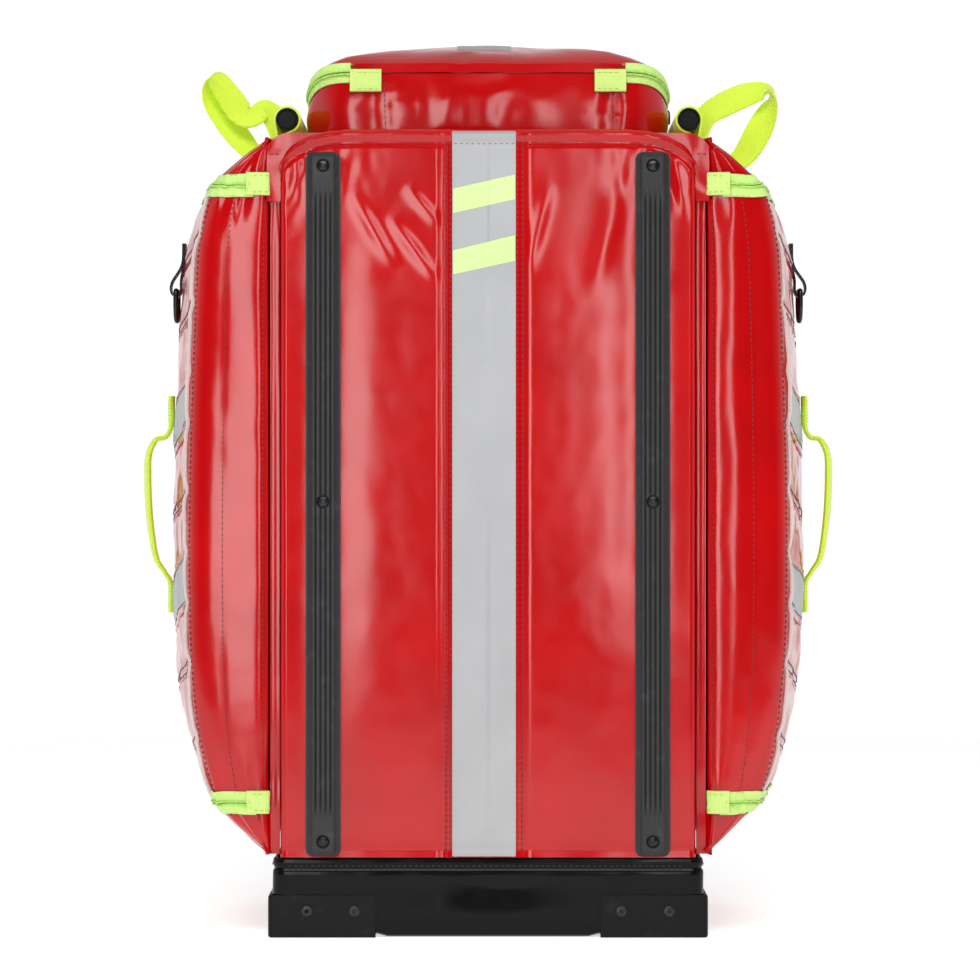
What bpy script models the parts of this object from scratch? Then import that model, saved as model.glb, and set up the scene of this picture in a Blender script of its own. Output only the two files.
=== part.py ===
"""Trauma backpack: a boxy main bay with a zipped bulging pocket on each side, a zipped top
pocket, skid rails, corner guards, webbing handles and a folding harness.

Metres, +Z up. The front faces -Y and the pack stands on Z = 0.
"""

import math

import bmesh
import bpy
from mathutils import Vector

for item in list(bpy.data.objects):
    bpy.data.objects.remove(item, do_unlink=True)

# Clearances and wall thicknesses
GAP = 0.0005
WALL = 0.005
SHEET = 0.006
WEBBING = 0.003
WEBBING_WIDTH = 0.025

# Main body
BODY_HALF = 0.173
PANEL_HALF = 0.1665
FRONT_Y = -0.160
BACK_Y = 0.100
GUARD_FOOT = 0.002
TRAY_LOW = GUARD_FOOT + GAP
TRAY_HIGH = 0.0635
DECK_LOW = 0.640
DIVIDER_X = 0.150

# Skid rails and their screws
RAIL_X = 0.132
RAIL_WIDTH = 0.028
RAIL_LOW, RAIL_HIGH = 0.065, 0.629
RAIL_FRONT = -0.165
RAIL_SCREW_Z = (0.077, 0.349, 0.618)
SCREW_HEAD = 0.0045

# Corner guards
GUARD_HEIGHT = 0.034
GUARD_WALL = 0.003
GUARD_INNER_X = 0.090
GUARD_DEPTH = 0.070
GUARD_SCREW_X = (0.107, 0.145)
GUARD_SCREW_Z = 0.0215

# Side pockets: half a horizontal section as (offset from the hinge line, depth), and how much
# of that offset each height has. The first two points are the strip in front of the hinge.
HINGE_X, HINGE_Y = 0.176, -0.152
SIDE_SECTION = (
    (-0.0085, -0.1500), (0.000, -0.1520), (0.012, -0.1545), (0.038, -0.1555), (0.058, -0.1510),
    (0.067, -0.1380), (0.074, -0.0980), (0.083, -0.0480), (0.088, 0.0000), (0.087, 0.0400),
    (0.080, 0.0750), (0.069, 0.0930), (0.048, 0.0990), (0.000, 0.1000),
)
SIDE_PROFILE = (
    (0.066, 0.03), (0.080, 0.27), (0.100, 0.55), (0.118, 0.71), (0.150, 0.85), (0.190, 0.94),
    (0.250, 1.00), (0.400, 0.99), (0.545, 0.90), (0.580, 0.80), (0.604, 0.65), (0.625, 0.36),
    (0.641, 0.03),
)
DOOR_LOW, DOOR_HIGH = 0.112, 0.598
FRAME_LOW, FRAME_HIGH = 0.102, 0.608
ZIP_CLEAR = 0.0015
STRIP_END, HINGE_LINE = 0.85, 1.0
DOOR_END, ZIP_START, ZIP_END, FRAME_START = 9.60, 9.64, 9.86, 9.90

# Top pocket
POCKET_HALF = 0.147
POCKET_FRONT, POCKET_BACK = -0.120, 0.095
POCKET_RADIUS = 0.040
ZIP_LINE = 0.697
ZIP_DROP = 0.017
LID_TOP = 0.7312
LID_SKIRT = 0.0095
LID_LEVELS = ((0.008, 0.7062), (0.020, 0.7122), (0.045, 0.7200), (0.078, 0.7272))
LID_HINGE_HALF = 0.1045

# Shoulder grips, haul loops, side handles and D-rings
GRIP_X, GRIP_Z = 0.163, 0.659
GRIP_SEAM_X, GRIP_SEAM_Z = 0.1705, 0.6455
GRIP_RADIUS = 0.009
GRIP_FRONT, GRIP_BACK = -0.125, 0.015
HAUL_Y = 0.060
HANDLE_X, HANDLE_LOW, HANDLE_HIGH = 0.266, 0.289, 0.403
RING_X, RING_Z = 0.2625, 0.526
RING_WIRE = 0.0022

# Harness
STRAP_PIVOT = (0.110, 0.604)
WING_PIVOT_X, WING_PIVOT_Y = 0.125, 0.128
STERNUM_Z = 0.450

# Colour, roughness and metallic value of each kind of material
LOOKS = {
    "red_tarpaulin": ((0.55, 0.0, 0.003), 0.22, 0.0),
    "black_tarpaulin": ((0.010, 0.009, 0.010), 0.2, 0.0),
    "black_plastic": ((0.026, 0.026, 0.029), 0.5, 0.0),
    "black_fabric": ((0.014, 0.014, 0.016), 0.85, 0.0),
    "webbing": ((0.62, 0.93, 0.09), 0.6, 0.0),
    "zipper": ((0.45, 0.85, 0.09), 0.6, 0.0),
    "silver": ((0.57, 0.58, 0.60), 0.35, 0.3),
    "steel": ((0.35, 0.35, 0.37), 0.35, 1.0),
    "lining": ((0.25, 0.26, 0.28), 0.8, 0.0),
}
SIDES = (("left", -1), ("right", 1))
PIVOTS = {}


# ---------------------------------------------------------------- bodies and objects

def body(name, pivot=(0, 0, 0), parent=None):
    """An empty on the body's joint axis, riding on the body that carries it."""
    empty = bpy.data.objects.new(name + "_pivot", None)
    bpy.context.collection.objects.link(empty)
    home = Vector(pivot)
    if parent:
        empty.parent = PIVOTS[parent][0]
        empty.location = home - PIVOTS[parent][1]
    else:
        empty.location = home
    PIVOTS[name] = (empty, home)


def material(name, look):
    """A Principled material with the look's colour, roughness and metallic value."""
    color, roughness, metallic = LOOKS[look]
    made = bpy.data.materials.new(name + "_" + look)
    made.use_nodes = True
    shader = made.node_tree.nodes["Principled BSDF"]
    shader.inputs["Base Color"].default_value = (*color, 1.0)
    shader.inputs["Roughness"].default_value = roughness
    shader.inputs["Metallic"].default_value = metallic
    made.diffuse_color = (*color, 1.0)
    return made


def add(name, shape, look, owner="pack"):
    """The node called name, from a bmesh in world positions, riding on its body's empty."""
    empty, home = PIVOTS[owner]
    bmesh.ops.translate(shape, vec=-home, verts=shape.verts)
    mesh = bpy.data.meshes.new(name)
    shape.to_mesh(mesh)
    shape.free()
    mesh.materials.append(material(name, look))
    made = bpy.data.objects.new(name, mesh)
    bpy.context.collection.objects.link(made)
    made.parent = empty
    return made


def bevelled(made, width, segments=2):
    """Rounded edges, as moulding or a seam allowance leaves them."""
    edge = made.modifiers.new("Rounded", "BEVEL")
    edge.width = width
    edge.segments = segments
    edge.limit_method = "ANGLE"
    return made


def cut(made, shape, title):
    """Take the shape, a bmesh in world positions, out of the object."""
    mesh = bpy.data.meshes.new(title)
    shape.to_mesh(mesh)
    shape.free()
    cutter = bpy.data.objects.new(title, mesh)
    bpy.context.collection.objects.link(cutter)
    cutter.hide_render = True
    cutter.display_type = "WIRE"
    hole = made.modifiers.new(title, "BOOLEAN")
    hole.operation = "DIFFERENCE"
    hole.object = cutter


# ---------------------------------------------------------------- shapes

def block(low, high):
    """A box between two corners."""
    shape = bmesh.new()
    bmesh.ops.create_cube(shape, size=1.0)
    for vert in shape.verts:
        vert.co = Vector(a + (c + 0.5) * (b - a) for a, b, c in zip(low, high, vert.co))
    return shape


def mirrored_block(side, low, high):
    """A box given for the right side, on either side."""
    ends = sorted((side * low[0], side * high[0]))
    return block((ends[0], low[1], low[2]), (ends[1], high[1], high[2]))


def loft(rings, closed=False):
    """A closed skin through rings of equal length, capped unless the last meets the first."""
    shape = bmesh.new()
    loops = [[shape.verts.new(point) for point in ring] for ring in rings]
    pairs = list(zip(loops, loops[1:]))
    if closed:
        pairs.append((loops[-1], loops[0]))
    count = len(loops[0])
    for near, far in pairs:
        for index in range(count):
            after = (index + 1) % count
            shape.faces.new((near[index], near[after], far[after], far[index]))
    if not closed:
        shape.faces.new(loops[0])
        shape.faces.new(loops[-1])
    bmesh.ops.recalc_face_normals(shape, faces=shape.faces)
    return shape


def prism_y(outline, low, high):
    """An outline of (x, z) points extruded along Y."""
    return loft([[(x, y, z) for x, z in outline] for y in (low, high)])


def hollow_prism_y(outer, inner, low, high):
    """Two matching (x, z) outlines, one inside the other, extruded along Y."""
    rings = []
    for (ox, oz), (ix, iz) in zip(outer, inner):
        rings.append([(ox, low, oz), (ox, high, oz), (ix, high, iz), (ix, low, iz)])
    return loft(rings, closed=True)


def turned_y(x, z, profile, sides=20):
    """A solid of revolution about a line along Y; profile lists (radius, y)."""
    rings = []
    for radius, y in profile:
        ring = []
        for index in range(sides):
            angle = 2 * math.pi * index / sides
            ring.append((x + radius * math.cos(angle), y, z + radius * math.sin(angle)))
        rings.append(ring)
    return loft(rings)


def smooth_path(points, steps=4):
    """Points of the Catmull-Rom curve through the given points."""
    known = [Vector(point) for point in points]
    known = [2 * known[0] - known[1]] + known + [2 * known[-1] - known[-2]]
    made = []
    for index in range(1, len(known) - 2):
        before, start, end, after = known[index - 1:index + 3]
        for step in range(steps):
            t = step / steps
            bend = (2 * before - 5 * start + 4 * end - after) * t * t
            twist = (3 * start - before - 3 * end + after) * t ** 3
            made.append((2 * start + (end - before) * t + bend + twist) / 2)
    return made + [known[-2]]


def curve_value(table, at):
    """Smooth value, at a position, of a table of (position, value) pairs."""
    last = len(table) - 1
    index = max([k for k in range(last) if table[k][0] <= at], default=0)
    (start, low), (end, high) = table[index], table[index + 1]
    before, after = table[max(index - 1, 0)], table[min(index + 2, last)]
    span = end - start
    leave = (high - before[1]) / (end - before[0]) * span
    arrive = (after[1] - low) / (after[0] - start) * span
    t = min(max((at - start) / span, 0.0), 1.0)
    held = (2 * t ** 3 - 3 * t * t + 1) * low + (3 * t * t - 2 * t ** 3) * high
    return held + (t ** 3 - 2 * t * t + t) * leave + (t ** 3 - t * t) * arrive


def ribbon(path, across, widths, thickness):
    """A flat strap along a path, its width along one direction, widths given from end to end."""
    path = [Vector(point) for point in path]
    across = Vector(across).normalized()
    last = len(path) - 1
    spread = [(k / (len(widths) - 1), width) for k, width in enumerate(widths)]
    rings = []
    for index, point in enumerate(path):
        ahead = path[min(index + 1, last)] - path[max(index - 1, 0)]
        up = ahead.cross(across).normalized() * thickness / 2
        half = across * curve_value(spread, index / last) / 2
        rings.append([point - half - up, point + half - up, point + half + up, point - half + up])
    return loft(rings)


# ---------------------------------------------------------------- side pocket surface

def side_point(side, u, z):
    """A point of a side pocket's outer surface, u counting along its section."""
    numbered_x = [(k, point[0]) for k, point in enumerate(SIDE_SECTION)]
    numbered_y = [(k, point[1]) for k, point in enumerate(SIDE_SECTION)]
    offset = curve_value(numbered_x, u)
    if offset > 0:
        offset *= curve_value(SIDE_PROFILE, z)
    return (side * (HINGE_X + offset), curve_value(numbered_y, u), z)


def side_sheet(name, side, columns, rows, wanted, thickness, look, owner="pack"):
    """A solid sheet, thickened inwards, of the surface's cells for which wanted(u, z) holds."""
    shape = bmesh.new()
    grid = [[shape.verts.new(side_point(side, u, z)) for u in columns] for z in rows]
    for i in range(len(rows) - 1):
        for k in range(len(columns) - 1):
            middle_u = (columns[k] + columns[k + 1]) / 2
            middle_z = (rows[i] + rows[i + 1]) / 2
            if wanted(middle_u, middle_z):
                corners = [grid[i][k], grid[i][k + 1], grid[i + 1][k + 1], grid[i + 1][k]]
                shape.faces.new(corners if side > 0 else corners[::-1])
    loose = [vert for vert in shape.verts if not vert.link_faces]
    bmesh.ops.delete(shape, geom=loose, context="VERTS")
    shape.normal_update()
    made = add(name, shape, look, owner)
    wall = made.modifiers.new("Wall", "SOLIDIFY")
    wall.thickness = thickness
    wall.offset = -1
    return made


# ---------------------------------------------------------------- main body

def front_panel():
    """The stiff front, with shoulders that drop at both ends of its top edge."""
    low = TRAY_HIGH + GAP
    right = [(PANEL_HALF, low), (PANEL_HALF, 0.616), (0.163, 0.628), (0.154, 0.637)]
    right += [(0.138, 0.644), (0.118, 0.648)]
    outline = right + [(-x, z) for x, z in reversed(right)]
    bevelled(add("front_panel", prism_y(outline, FRONT_Y, FRONT_Y + SHEET), "red_tarpaulin"), 0.0015)


def base_tray():
    """The open-topped base that the walls stand in."""
    back = BACK_Y - WALL - GAP
    tray = add(
        "base_tray",
        block((-BODY_HALF, FRONT_Y, TRAY_LOW), (BODY_HALF, back, TRAY_HIGH)),
        "black_tarpaulin",
    )
    hollow = block(
        (WALL - BODY_HALF, FRONT_Y + WALL, TRAY_LOW + WALL),
        (BODY_HALF - WALL, back - WALL, TRAY_HIGH + WALL),
    )
    cut(tray, hollow, "tray_hollow")


def upright_panels():
    """The back panel, the stiffener in front of it, and the deck under the top pocket."""
    inside = BACK_Y - WALL - GAP
    panel_top = DECK_LOW + SHEET
    panel = block((-BODY_HALF, BACK_Y - WALL, TRAY_LOW), (BODY_HALF, BACK_Y, panel_top))
    add("back_panel", panel, "black_fabric")
    sheet = block((-0.143, inside - 0.0025, TRAY_HIGH + GAP), (0.143, inside, DECK_LOW - GAP))
    add("frame_sheet", sheet, "black_plastic")
    deck = block((-0.165, FRONT_Y + SHEET + GAP, DECK_LOW), (0.165, inside, panel_top))
    bevelled(add("top_deck", deck, "red_tarpaulin"), 0.0015)


def divider(name, side):
    """A stiffened wall between the main bay and a side pocket, with a pass-through."""
    low_y, high_y = FRONT_Y + SHEET + GAP, BACK_Y - WALL - 0.0035
    half = 0.0025
    wall = mirrored_block(
        side,
        (DIVIDER_X - half, low_y, TRAY_HIGH + GAP),
        (DIVIDER_X + half, high_y, DECK_LOW - GAP),
    )
    made = add(name, wall, "lining")
    window = mirrored_block(side, (DIVIDER_X - 0.02, -0.110, 0.140), (DIVIDER_X + 0.02, 0.050, 0.560))
    cut(made, window, name + "_window")


def side_frame(name, side):
    """The roof, rear, belly and hinge strip that stay fixed when the pocket's door opens."""
    columns = [0, STRIP_END, HINGE_LINE, 2, 3, 4, 5, 6, 7, 8, 9, FRAME_START, 10.5, 11, 12, 13]
    rows = [0.067, 0.078, 0.090, FRAME_LOW, 0.150, 0.220, 0.300, 0.400, 0.500, 0.560]
    rows += [FRAME_HIGH, 0.618, 0.628, 0.640]

    def wanted(u, z):
        return z < FRAME_LOW or z > FRAME_HIGH or u > FRAME_START or u < STRIP_END

    side_sheet(name, side, columns, rows, wanted, 0.003, "red_tarpaulin")


def side_door(name, side, owner):
    """The bulging front and side of the pocket, which opens about its front edge."""
    columns = [HINGE_LINE, 1.6, 2.3, 3, 4, 4.5, 5, 5.5, 6, 7, 8, 9, DOOR_END]
    rows = [DOOR_LOW, 0.130, 0.160, 0.200, 0.260, 0.330, 0.400, 0.470, 0.530, 0.575, DOOR_HIGH]
    side_sheet(name, side, columns, rows, lambda u, z: True, WALL, "red_tarpaulin", owner)


def door_zipper(name, side, owner):
    """The zipper's tape and coil, along the door's top, rear and bottom edges."""
    columns = [2, 3, 4, 4.5, 5, 5.5, 6, 7, 8, 9, ZIP_START, ZIP_END]
    inner_low, inner_high = DOOR_LOW - ZIP_CLEAR, DOOR_HIGH + ZIP_CLEAR
    rows = [FRAME_LOW + ZIP_CLEAR, inner_low, 0.160, 0.200, 0.260, 0.330, 0.400, 0.470, 0.530]
    rows += [0.575, inner_high, FRAME_HIGH - ZIP_CLEAR]

    def wanted(u, z):
        return z < inner_low or z > inner_high or u > ZIP_START

    side_sheet(name, side, columns, rows, wanted, 0.0025, "zipper", owner)


def door_slider(name, side, owner):
    """The zipper's slider body with its bridge, running down the door's rear edge."""
    low, high = (0.2615, 0.0595, 0.288), (0.2665, 0.0705, 0.312)
    bevelled(add(name, mirrored_block(side, low, high), "steel", owner), 0.0015)


# ---------------------------------------------------------------- top pocket

def zip_height(y):
    """Height of the top zipper's line: it drops round the front corners."""
    t = min(max((y - POCKET_FRONT) / 0.045, 0.0), 1.0)
    return ZIP_LINE - ZIP_DROP * t * t * (3 - 2 * t)


def on_lid_hinge(x, y):
    """Whether a point of the outline is on the stretch where lid and wall are sewn together."""
    return abs(x) < LID_HINGE_HALF and y < POCKET_FRONT + WALL


def wall_top(x, y):
    """Height of the pocket wall's upper edge."""
    return ZIP_LINE - 0.0007 if on_lid_hinge(x, y) else zip_height(y) - 0.0055


def lid_edge(x, y):
    """Height of the lid's lower edge."""
    return ZIP_LINE + GAP if on_lid_hinge(x, y) else zip_height(y) + 0.0065


def pocket_outline(inset, corner_steps=5):
    """The pocket's rounded rectangle in plan, moved inwards, with the hinge's ends marked."""
    radius = max(POCKET_RADIUS - inset, 0.006)
    half = POCKET_HALF - inset
    front, back = POCKET_FRONT + inset, POCKET_BACK - inset
    centres = (
        (half - radius, front + radius, -90), (half - radius, back - radius, 0),
        (radius - half, back - radius, 90), (radius - half, front + radius, 180),
    )
    points = []
    for x, y, start in centres:
        for step in range(corner_steps + 1):
            angle = math.radians(start + 90 * step / corner_steps)
            points.append((x + radius * math.cos(angle), y + radius * math.sin(angle)))
    for x in (-LID_HINGE_HALF - 0.001, 0.001 - LID_HINGE_HALF):
        points.append((x, POCKET_FRONT + inset))
    for x in (LID_HINGE_HALF - 0.001, LID_HINGE_HALF + 0.001):
        points.append((x, POCKET_FRONT + inset))
    return points


def pocket_wall():
    """The upright ring of the top pocket."""
    rings = []
    pairs = zip(pocket_outline(0), pocket_outline(WALL))
    low = DECK_LOW + SHEET + GAP
    for (ox, oy), (ix, iy) in pairs:
        high = wall_top(ox, oy)
        rings.append([(ox, oy, low), (ox, oy, high), (ix, iy, high), (ix, iy, low)])
    add("top_pocket_wall", loft(rings, closed=True), "red_tarpaulin")


def top_lid():
    """The domed lid, open underneath."""
    shape = bmesh.new()
    edge = pocket_outline(0)
    loops = [[shape.verts.new((x, y, lid_edge(x, y))) for x, y in edge]]
    skirt = zip(pocket_outline(0.001), edge)
    loops.append([
        shape.verts.new((x, y, zip_height(edge_y) + LID_SKIRT)) for (x, y), (_, edge_y) in skirt
    ])
    for inset, z in LID_LEVELS:
        loops.append([shape.verts.new((x, y, z)) for x, y in pocket_outline(inset)])
    for near, far in zip(loops, loops[1:]):
        for index in range(len(near)):
            after = (index + 1) % len(near)
            shape.faces.new((near[index], near[after], far[after], far[index]))
    crown = shape.faces.new(loops[-1])
    bmesh.ops.poke(shape, faces=[crown], offset=LID_TOP - LID_LEVELS[-1][1])
    shape.normal_update()
    wall = add("top_lid", shape, "red_tarpaulin", "lid").modifiers.new("Wall", "SOLIDIFY")
    wall.thickness = 0.004
    wall.offset = -1


def lid_zipper():
    """The lid's zipper, round the sides and back, open between its two front ends."""
    hinge_points = 4
    outer = pocket_outline(0)[:-hinge_points]
    inner = pocket_outline(0.0025)[:-hinge_points]
    rings = []
    for (ox, oy), (ix, iy) in zip(outer, inner):
        middle = zip_height(oy)
        low, high = middle - 0.0045, middle + 0.0045
        rings.append([(ox, oy, low), (ox, oy, high), (ix, iy, high), (ix, iy, low)])
    add("lid_zipper", loft(rings), "zipper", "lid")


def lid_slider():
    """The lid's slider, running along the straight of its zipper."""
    middle = zip_height(0.045)
    low, high = (0.1475, 0.035, middle - 0.005), (0.1515, 0.055, middle + 0.005)
    bevelled(add("lid_slider", block(low, high), "steel", "lid_slider"), 0.0012)


# ---------------------------------------------------------------- trim on the front and base

def reflective_strip():
    """Two-inch tape down the middle of the front panel, sewn a little off centre."""
    strip = block((-0.0286, FRONT_Y - 0.0012, 0.0655), (0.0222, FRONT_Y - 0.0003, 0.645))
    add("reflective_strip", strip, "silver")


def skid_rail(name, side):
    """A moulded rail with a raised ridge and three counterbored screw seats."""
    back, plate, ridge = FRONT_Y - 0.0003, FRONT_Y - 0.003, RAIL_FRONT
    half, ridge_half, slope = RAIL_WIDTH / 2, 0.009, 0.0012
    outline = [(-half, back), (-half, plate), (-ridge_half - slope, plate), (-ridge_half, ridge)]
    outline += [(-x, y) for x, y in reversed(outline)]
    rings = []
    for z, share in ((RAIL_LOW, 0.72), (RAIL_LOW + 0.004, 1.0), (RAIL_HIGH - 0.004, 1.0), (RAIL_HIGH, 0.72)):
        rings.append([(side * RAIL_X + x * share, y, z) for x, y in outline])
    made = add(name, loft(rings), "black_plastic")
    for number, z in enumerate(RAIL_SCREW_Z):
        seat = [(0.0052, RAIL_FRONT - 0.004), (0.0052, FRONT_Y - 0.0024)]
        seat += [(0.0026, FRONT_Y - 0.0024), (0.0026, FRONT_Y + 0.004)]
        cut(made, turned_y(side * RAIL_X, z, seat, 16), f"{name}_seat_{number + 1}")


def rail_screw(name, x, z):
    """A low-head screw, its head below the ridge."""
    profile = [(0.0022, FRONT_Y - 0.0004), (0.0022, FRONT_Y - 0.0027)]
    profile += [(SCREW_HEAD, FRONT_Y - 0.0027), (SCREW_HEAD, FRONT_Y - 0.0040)]
    profile += [(SCREW_HEAD - 0.0006, FRONT_Y - 0.0046)]
    add(name, turned_y(x, z, profile, 16), "steel")


def corner_guard(name, side, front):
    """A moulded guard wrapping one lower corner, with a foot under the base."""
    outer_x = BODY_HALF + 0.0003 + GUARD_WALL
    if front:
        face = FRONT_Y - 0.0003
        low = (GUARD_INNER_X, face - GUARD_WALL, 0)
        high = (outer_x, face - GUARD_WALL + GUARD_DEPTH, GUARD_HEIGHT)
        room_y = (face, 1)
    else:
        face = BACK_Y + 0.0003
        low = (GUARD_INNER_X, face + GUARD_WALL - GUARD_DEPTH, 0)
        high = (outer_x, face + GUARD_WALL, GUARD_HEIGHT)
        room_y = (-1, face)
    made = bevelled(add(name, mirrored_block(side, low, high), "black_plastic"), 0.0025)
    room = mirrored_block(side, (0.05, room_y[0], GUARD_FOOT), (BODY_HALF + 0.0003, room_y[1], 0.1))
    cut(made, room, name + "_room")
    if front:
        for number, x in enumerate(GUARD_SCREW_X):
            hole = [(0.0026, face - 0.01), (0.0026, face + 0.01)]
            cut(made, turned_y(side * x, GUARD_SCREW_Z, hole, 16), f"{name}_hole_{number + 1}")


def guard_screw(name, x):
    """A button-head socket screw."""
    seat = FRONT_Y - 0.0003 - GUARD_WALL - 0.0003
    profile = [(0.0022, FRONT_Y - 0.0005), (0.0022, seat), (SCREW_HEAD, seat)]
    profile += [(0.0040, seat - 0.0008), (0.0028, RAIL_FRONT + 0.0002)]
    add(name, turned_y(x, GUARD_SCREW_Z, profile, 16), "steel")


# ---------------------------------------------------------------- handles

def grip_outline(radius, tail):
    """A circle round the grip's axis, drawn out to the seam when tail is set."""
    reach = math.hypot(GRIP_SEAM_X - GRIP_X, GRIP_SEAM_Z - GRIP_Z)
    towards = math.degrees(math.atan2(GRIP_SEAM_Z - GRIP_Z, GRIP_SEAM_X - GRIP_X))
    turns = [-26, -6, 6, 26] + list(range(50, 320, 20))
    outline = []
    for turn in turns:
        length = reach if tail and abs(turn) == 6 else radius
        angle = math.radians(towards + turn)
        outline.append((GRIP_X + length * math.cos(angle), GRIP_Z + length * math.sin(angle)))
    return outline


def shoulder_grip(suffix, side):
    """A round carrying tube in a webbing sleeve whose tail is sewn into the shoulder seam."""
    owner = "grip_" + suffix
    tube = hollow_prism_y(
        [(side * x, z) for x, z in grip_outline(GRIP_RADIUS, False)],
        [(side * x, z) for x, z in grip_outline(GRIP_RADIUS - 0.0025, False)],
        GRIP_FRONT,
        GRIP_BACK,
    )
    add("grip_tube_" + suffix, tube, "black_plastic", owner)
    sleeve = hollow_prism_y(
        [(side * x, z) for x, z in grip_outline(GRIP_RADIUS + 0.0019, True)],
        [(side * x, z) for x, z in grip_outline(GRIP_RADIUS + 0.0004, False)],
        GRIP_FRONT + 0.007,
        GRIP_BACK - 0.007,
    )
    add("grip_sleeve_" + suffix, sleeve, "webbing", owner)


def haul_loop(suffix, side):
    """A squashed standing loop of wide webbing, sewn to the pocket's roof."""
    route = [(0.180, 0.6485), (0.184, 0.676), (0.198, 0.698), (0.218, 0.711), (0.235, 0.706)]
    route += [(0.234, 0.688), (0.217, 0.664), (0.200, 0.6375)]
    path = smooth_path([(side * x, HAUL_Y, z) for x, z in route], 3)
    widths = (0.004, WEBBING_WIDTH, WEBBING_WIDTH, WEBBING_WIDTH, WEBBING_WIDTH, WEBBING_WIDTH, 0.004)
    loop = ribbon(path, (0, 1, 0), widths, WEBBING)
    add("haul_loop_" + suffix, loop, "webbing", "haul_" + suffix)


def side_handle(suffix, side):
    """An upright webbing handle on the door, sewn down at both ends."""
    route = [(HANDLE_X, HANDLE_HIGH), (0.277, 0.398), (0.2855, 0.374), (0.2872, 0.346)]
    route += [(0.2855, 0.318), (0.277, 0.294), (HANDLE_X, HANDLE_LOW)]
    path = smooth_path([(side * x, 0, z) for x, z in route], 3)
    widths = (0.004, WEBBING_WIDTH, WEBBING_WIDTH, WEBBING_WIDTH, WEBBING_WIDTH, WEBBING_WIDTH, 0.004)
    handle = ribbon(path, (0, 1, 0), widths, WEBBING)
    add("side_handle_" + suffix, handle, "webbing", "handle_" + suffix)


def d_ring(suffix, side):
    """A sewn webbing tab and the D-ring that hangs from it."""
    tab = mirrored_block(side, (0.2590, -0.008, 0.5195), (0.2662, 0.008, 0.546))
    made = bevelled(add("ring_tab_" + suffix, tab, "black_fabric", "door_" + suffix), 0.0012)
    bore = turned_y(side * RING_X, RING_Z, [(0.0027, -0.02), (0.0027, 0.02)], 16)
    cut(made, bore, "ring_bore_" + suffix)
    half, drop = 0.012, 0.010
    centre = []
    for y in (-half + 0.002, 0.0, half - 0.002):
        centre.append((y, RING_Z))
    for step in range(11):
        angle = math.pi * step / 10
        centre.append((half * math.cos(angle), RING_Z - drop - (half + 0.003) * math.sin(angle)))
    rings = []
    for index, (y, z) in enumerate(centre):
        ahead, behind = centre[(index + 1) % len(centre)], centre[index - 1]
        along = Vector((0, ahead[0] - behind[0], ahead[1] - behind[1])).normalized()
        flat = Vector((1, 0, 0))
        rise = along.cross(flat)
        ring = []
        for step in range(8):
            angle = 2 * math.pi * step / 8
            arm = flat * math.cos(angle) * side + rise * math.sin(angle)
            ring.append(Vector((side * RING_X, y, z)) + arm * RING_WIRE)
        rings.append(ring)
    add("d_ring_" + suffix, loft(rings, closed=True), "steel", "ring_" + suffix)


# ---------------------------------------------------------------- harness

def back_pads():
    """The padded back and the thicker pad under the hip belt."""
    face = BACK_Y + GAP
    back = block((-0.120, face, 0.190), (0.120, 0.118, 0.585))
    bevelled(add("back_pad", back, "black_fabric"), 0.006)
    lumbar = block((-0.118, face, 0.055), (0.118, 0.1255, 0.182))
    bevelled(add("lumbar_pad", lumbar, "black_fabric"), 0.008)


def shoulder_strap(suffix, side):
    """A padded strap from the top of the back, with its half of the closed sternum strap."""
    owner = "strap_" + suffix
    route = [(0.050, 0.110, 0.604), (0.051, 0.128, 0.604), (0.054, 0.146, 0.588)]
    route += [(0.060, 0.155, 0.540), (0.072, 0.156, 0.450), (0.084, 0.149, 0.360), (0.098, 0.133, 0.245)]
    path = smooth_path([(side * x, y, z) for x, y, z in route], 3)
    strap = ribbon(path, (1, 0, 0), (0.058, 0.062, 0.062, 0.056, 0.045), 0.0125)
    add("shoulder_strap_" + suffix, strap, "black_fabric", owner)
    tape = mirrored_block(side, (0.0185, 0.1632, STERNUM_Z - 0.010), (0.090, 0.1647, STERNUM_Z + 0.010))
    add("sternum_strap_" + suffix, tape, "black_fabric", owner)


def buckle(prefix, centre, reach, owners):
    """The two halves of a side-release buckle: a socket with a mouth, and a tongued plug."""
    x, y, z = centre
    half, depth = 0.013, 0.004
    socket_low = (x - reach, y - depth, z - half)
    socket = block(socket_low, (x - GAP, y + depth, z + half))
    made = bevelled(add(prefix + "_buckle_socket", socket, "black_plastic", owners[0]), 0.0015)
    mouth = block((x - 0.011, y - 0.0022, z - 0.0085), (x + 0.01, y + 0.0022, z + 0.0085))
    cut(made, mouth, prefix + "_mouth")
    plug = [(x + GAP, half), (x + reach, half), (x + reach, -half), (x + GAP, -half)]
    plug += [(x + GAP, -0.0075), (x - 0.009, -0.0055), (x - 0.009, 0.0055), (x + GAP, 0.0075)]
    halves = [[(px, py, z + pz) for px, pz in plug] for py in (y - 0.0018, y + 0.0018)]
    add(prefix + "_buckle_plug", loft(halves), "black_plastic", owners[1])


def hip_buckle(suffix, side):
    """Half of the hip belt's buckle, stowed on the outer face of its wing."""
    kind = "socket" if side < 0 else "plug"
    low, high = (0.034, 0.1408, 0.103), (0.078, 0.1500, 0.139)
    made = add("hip_buckle_" + kind, mirrored_block(side, low, high), "black_plastic", "wing_" + suffix)
    bevelled(made, 0.002)


def hip_wing(suffix, side):
    """A padded hip wing, folded in over the lumbar pad."""
    route = [(WING_PIVOT_X - 0.002, 0.1335, 0.120), (0.090, 0.1335, 0.120), (0.050, 0.1335, 0.120)]
    route += [(0.014, 0.1335, 0.120)]
    path = smooth_path([(side * x, y, z) for x, y, z in route], 3)
    wing = ribbon(path, (0, 0, 1), (0.104, 0.100, 0.082, 0.050), 0.0125)
    add("hip_wing_" + suffix, wing, "black_fabric", "wing_" + suffix)


# ---------------------------------------------------------------- assembly

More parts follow.
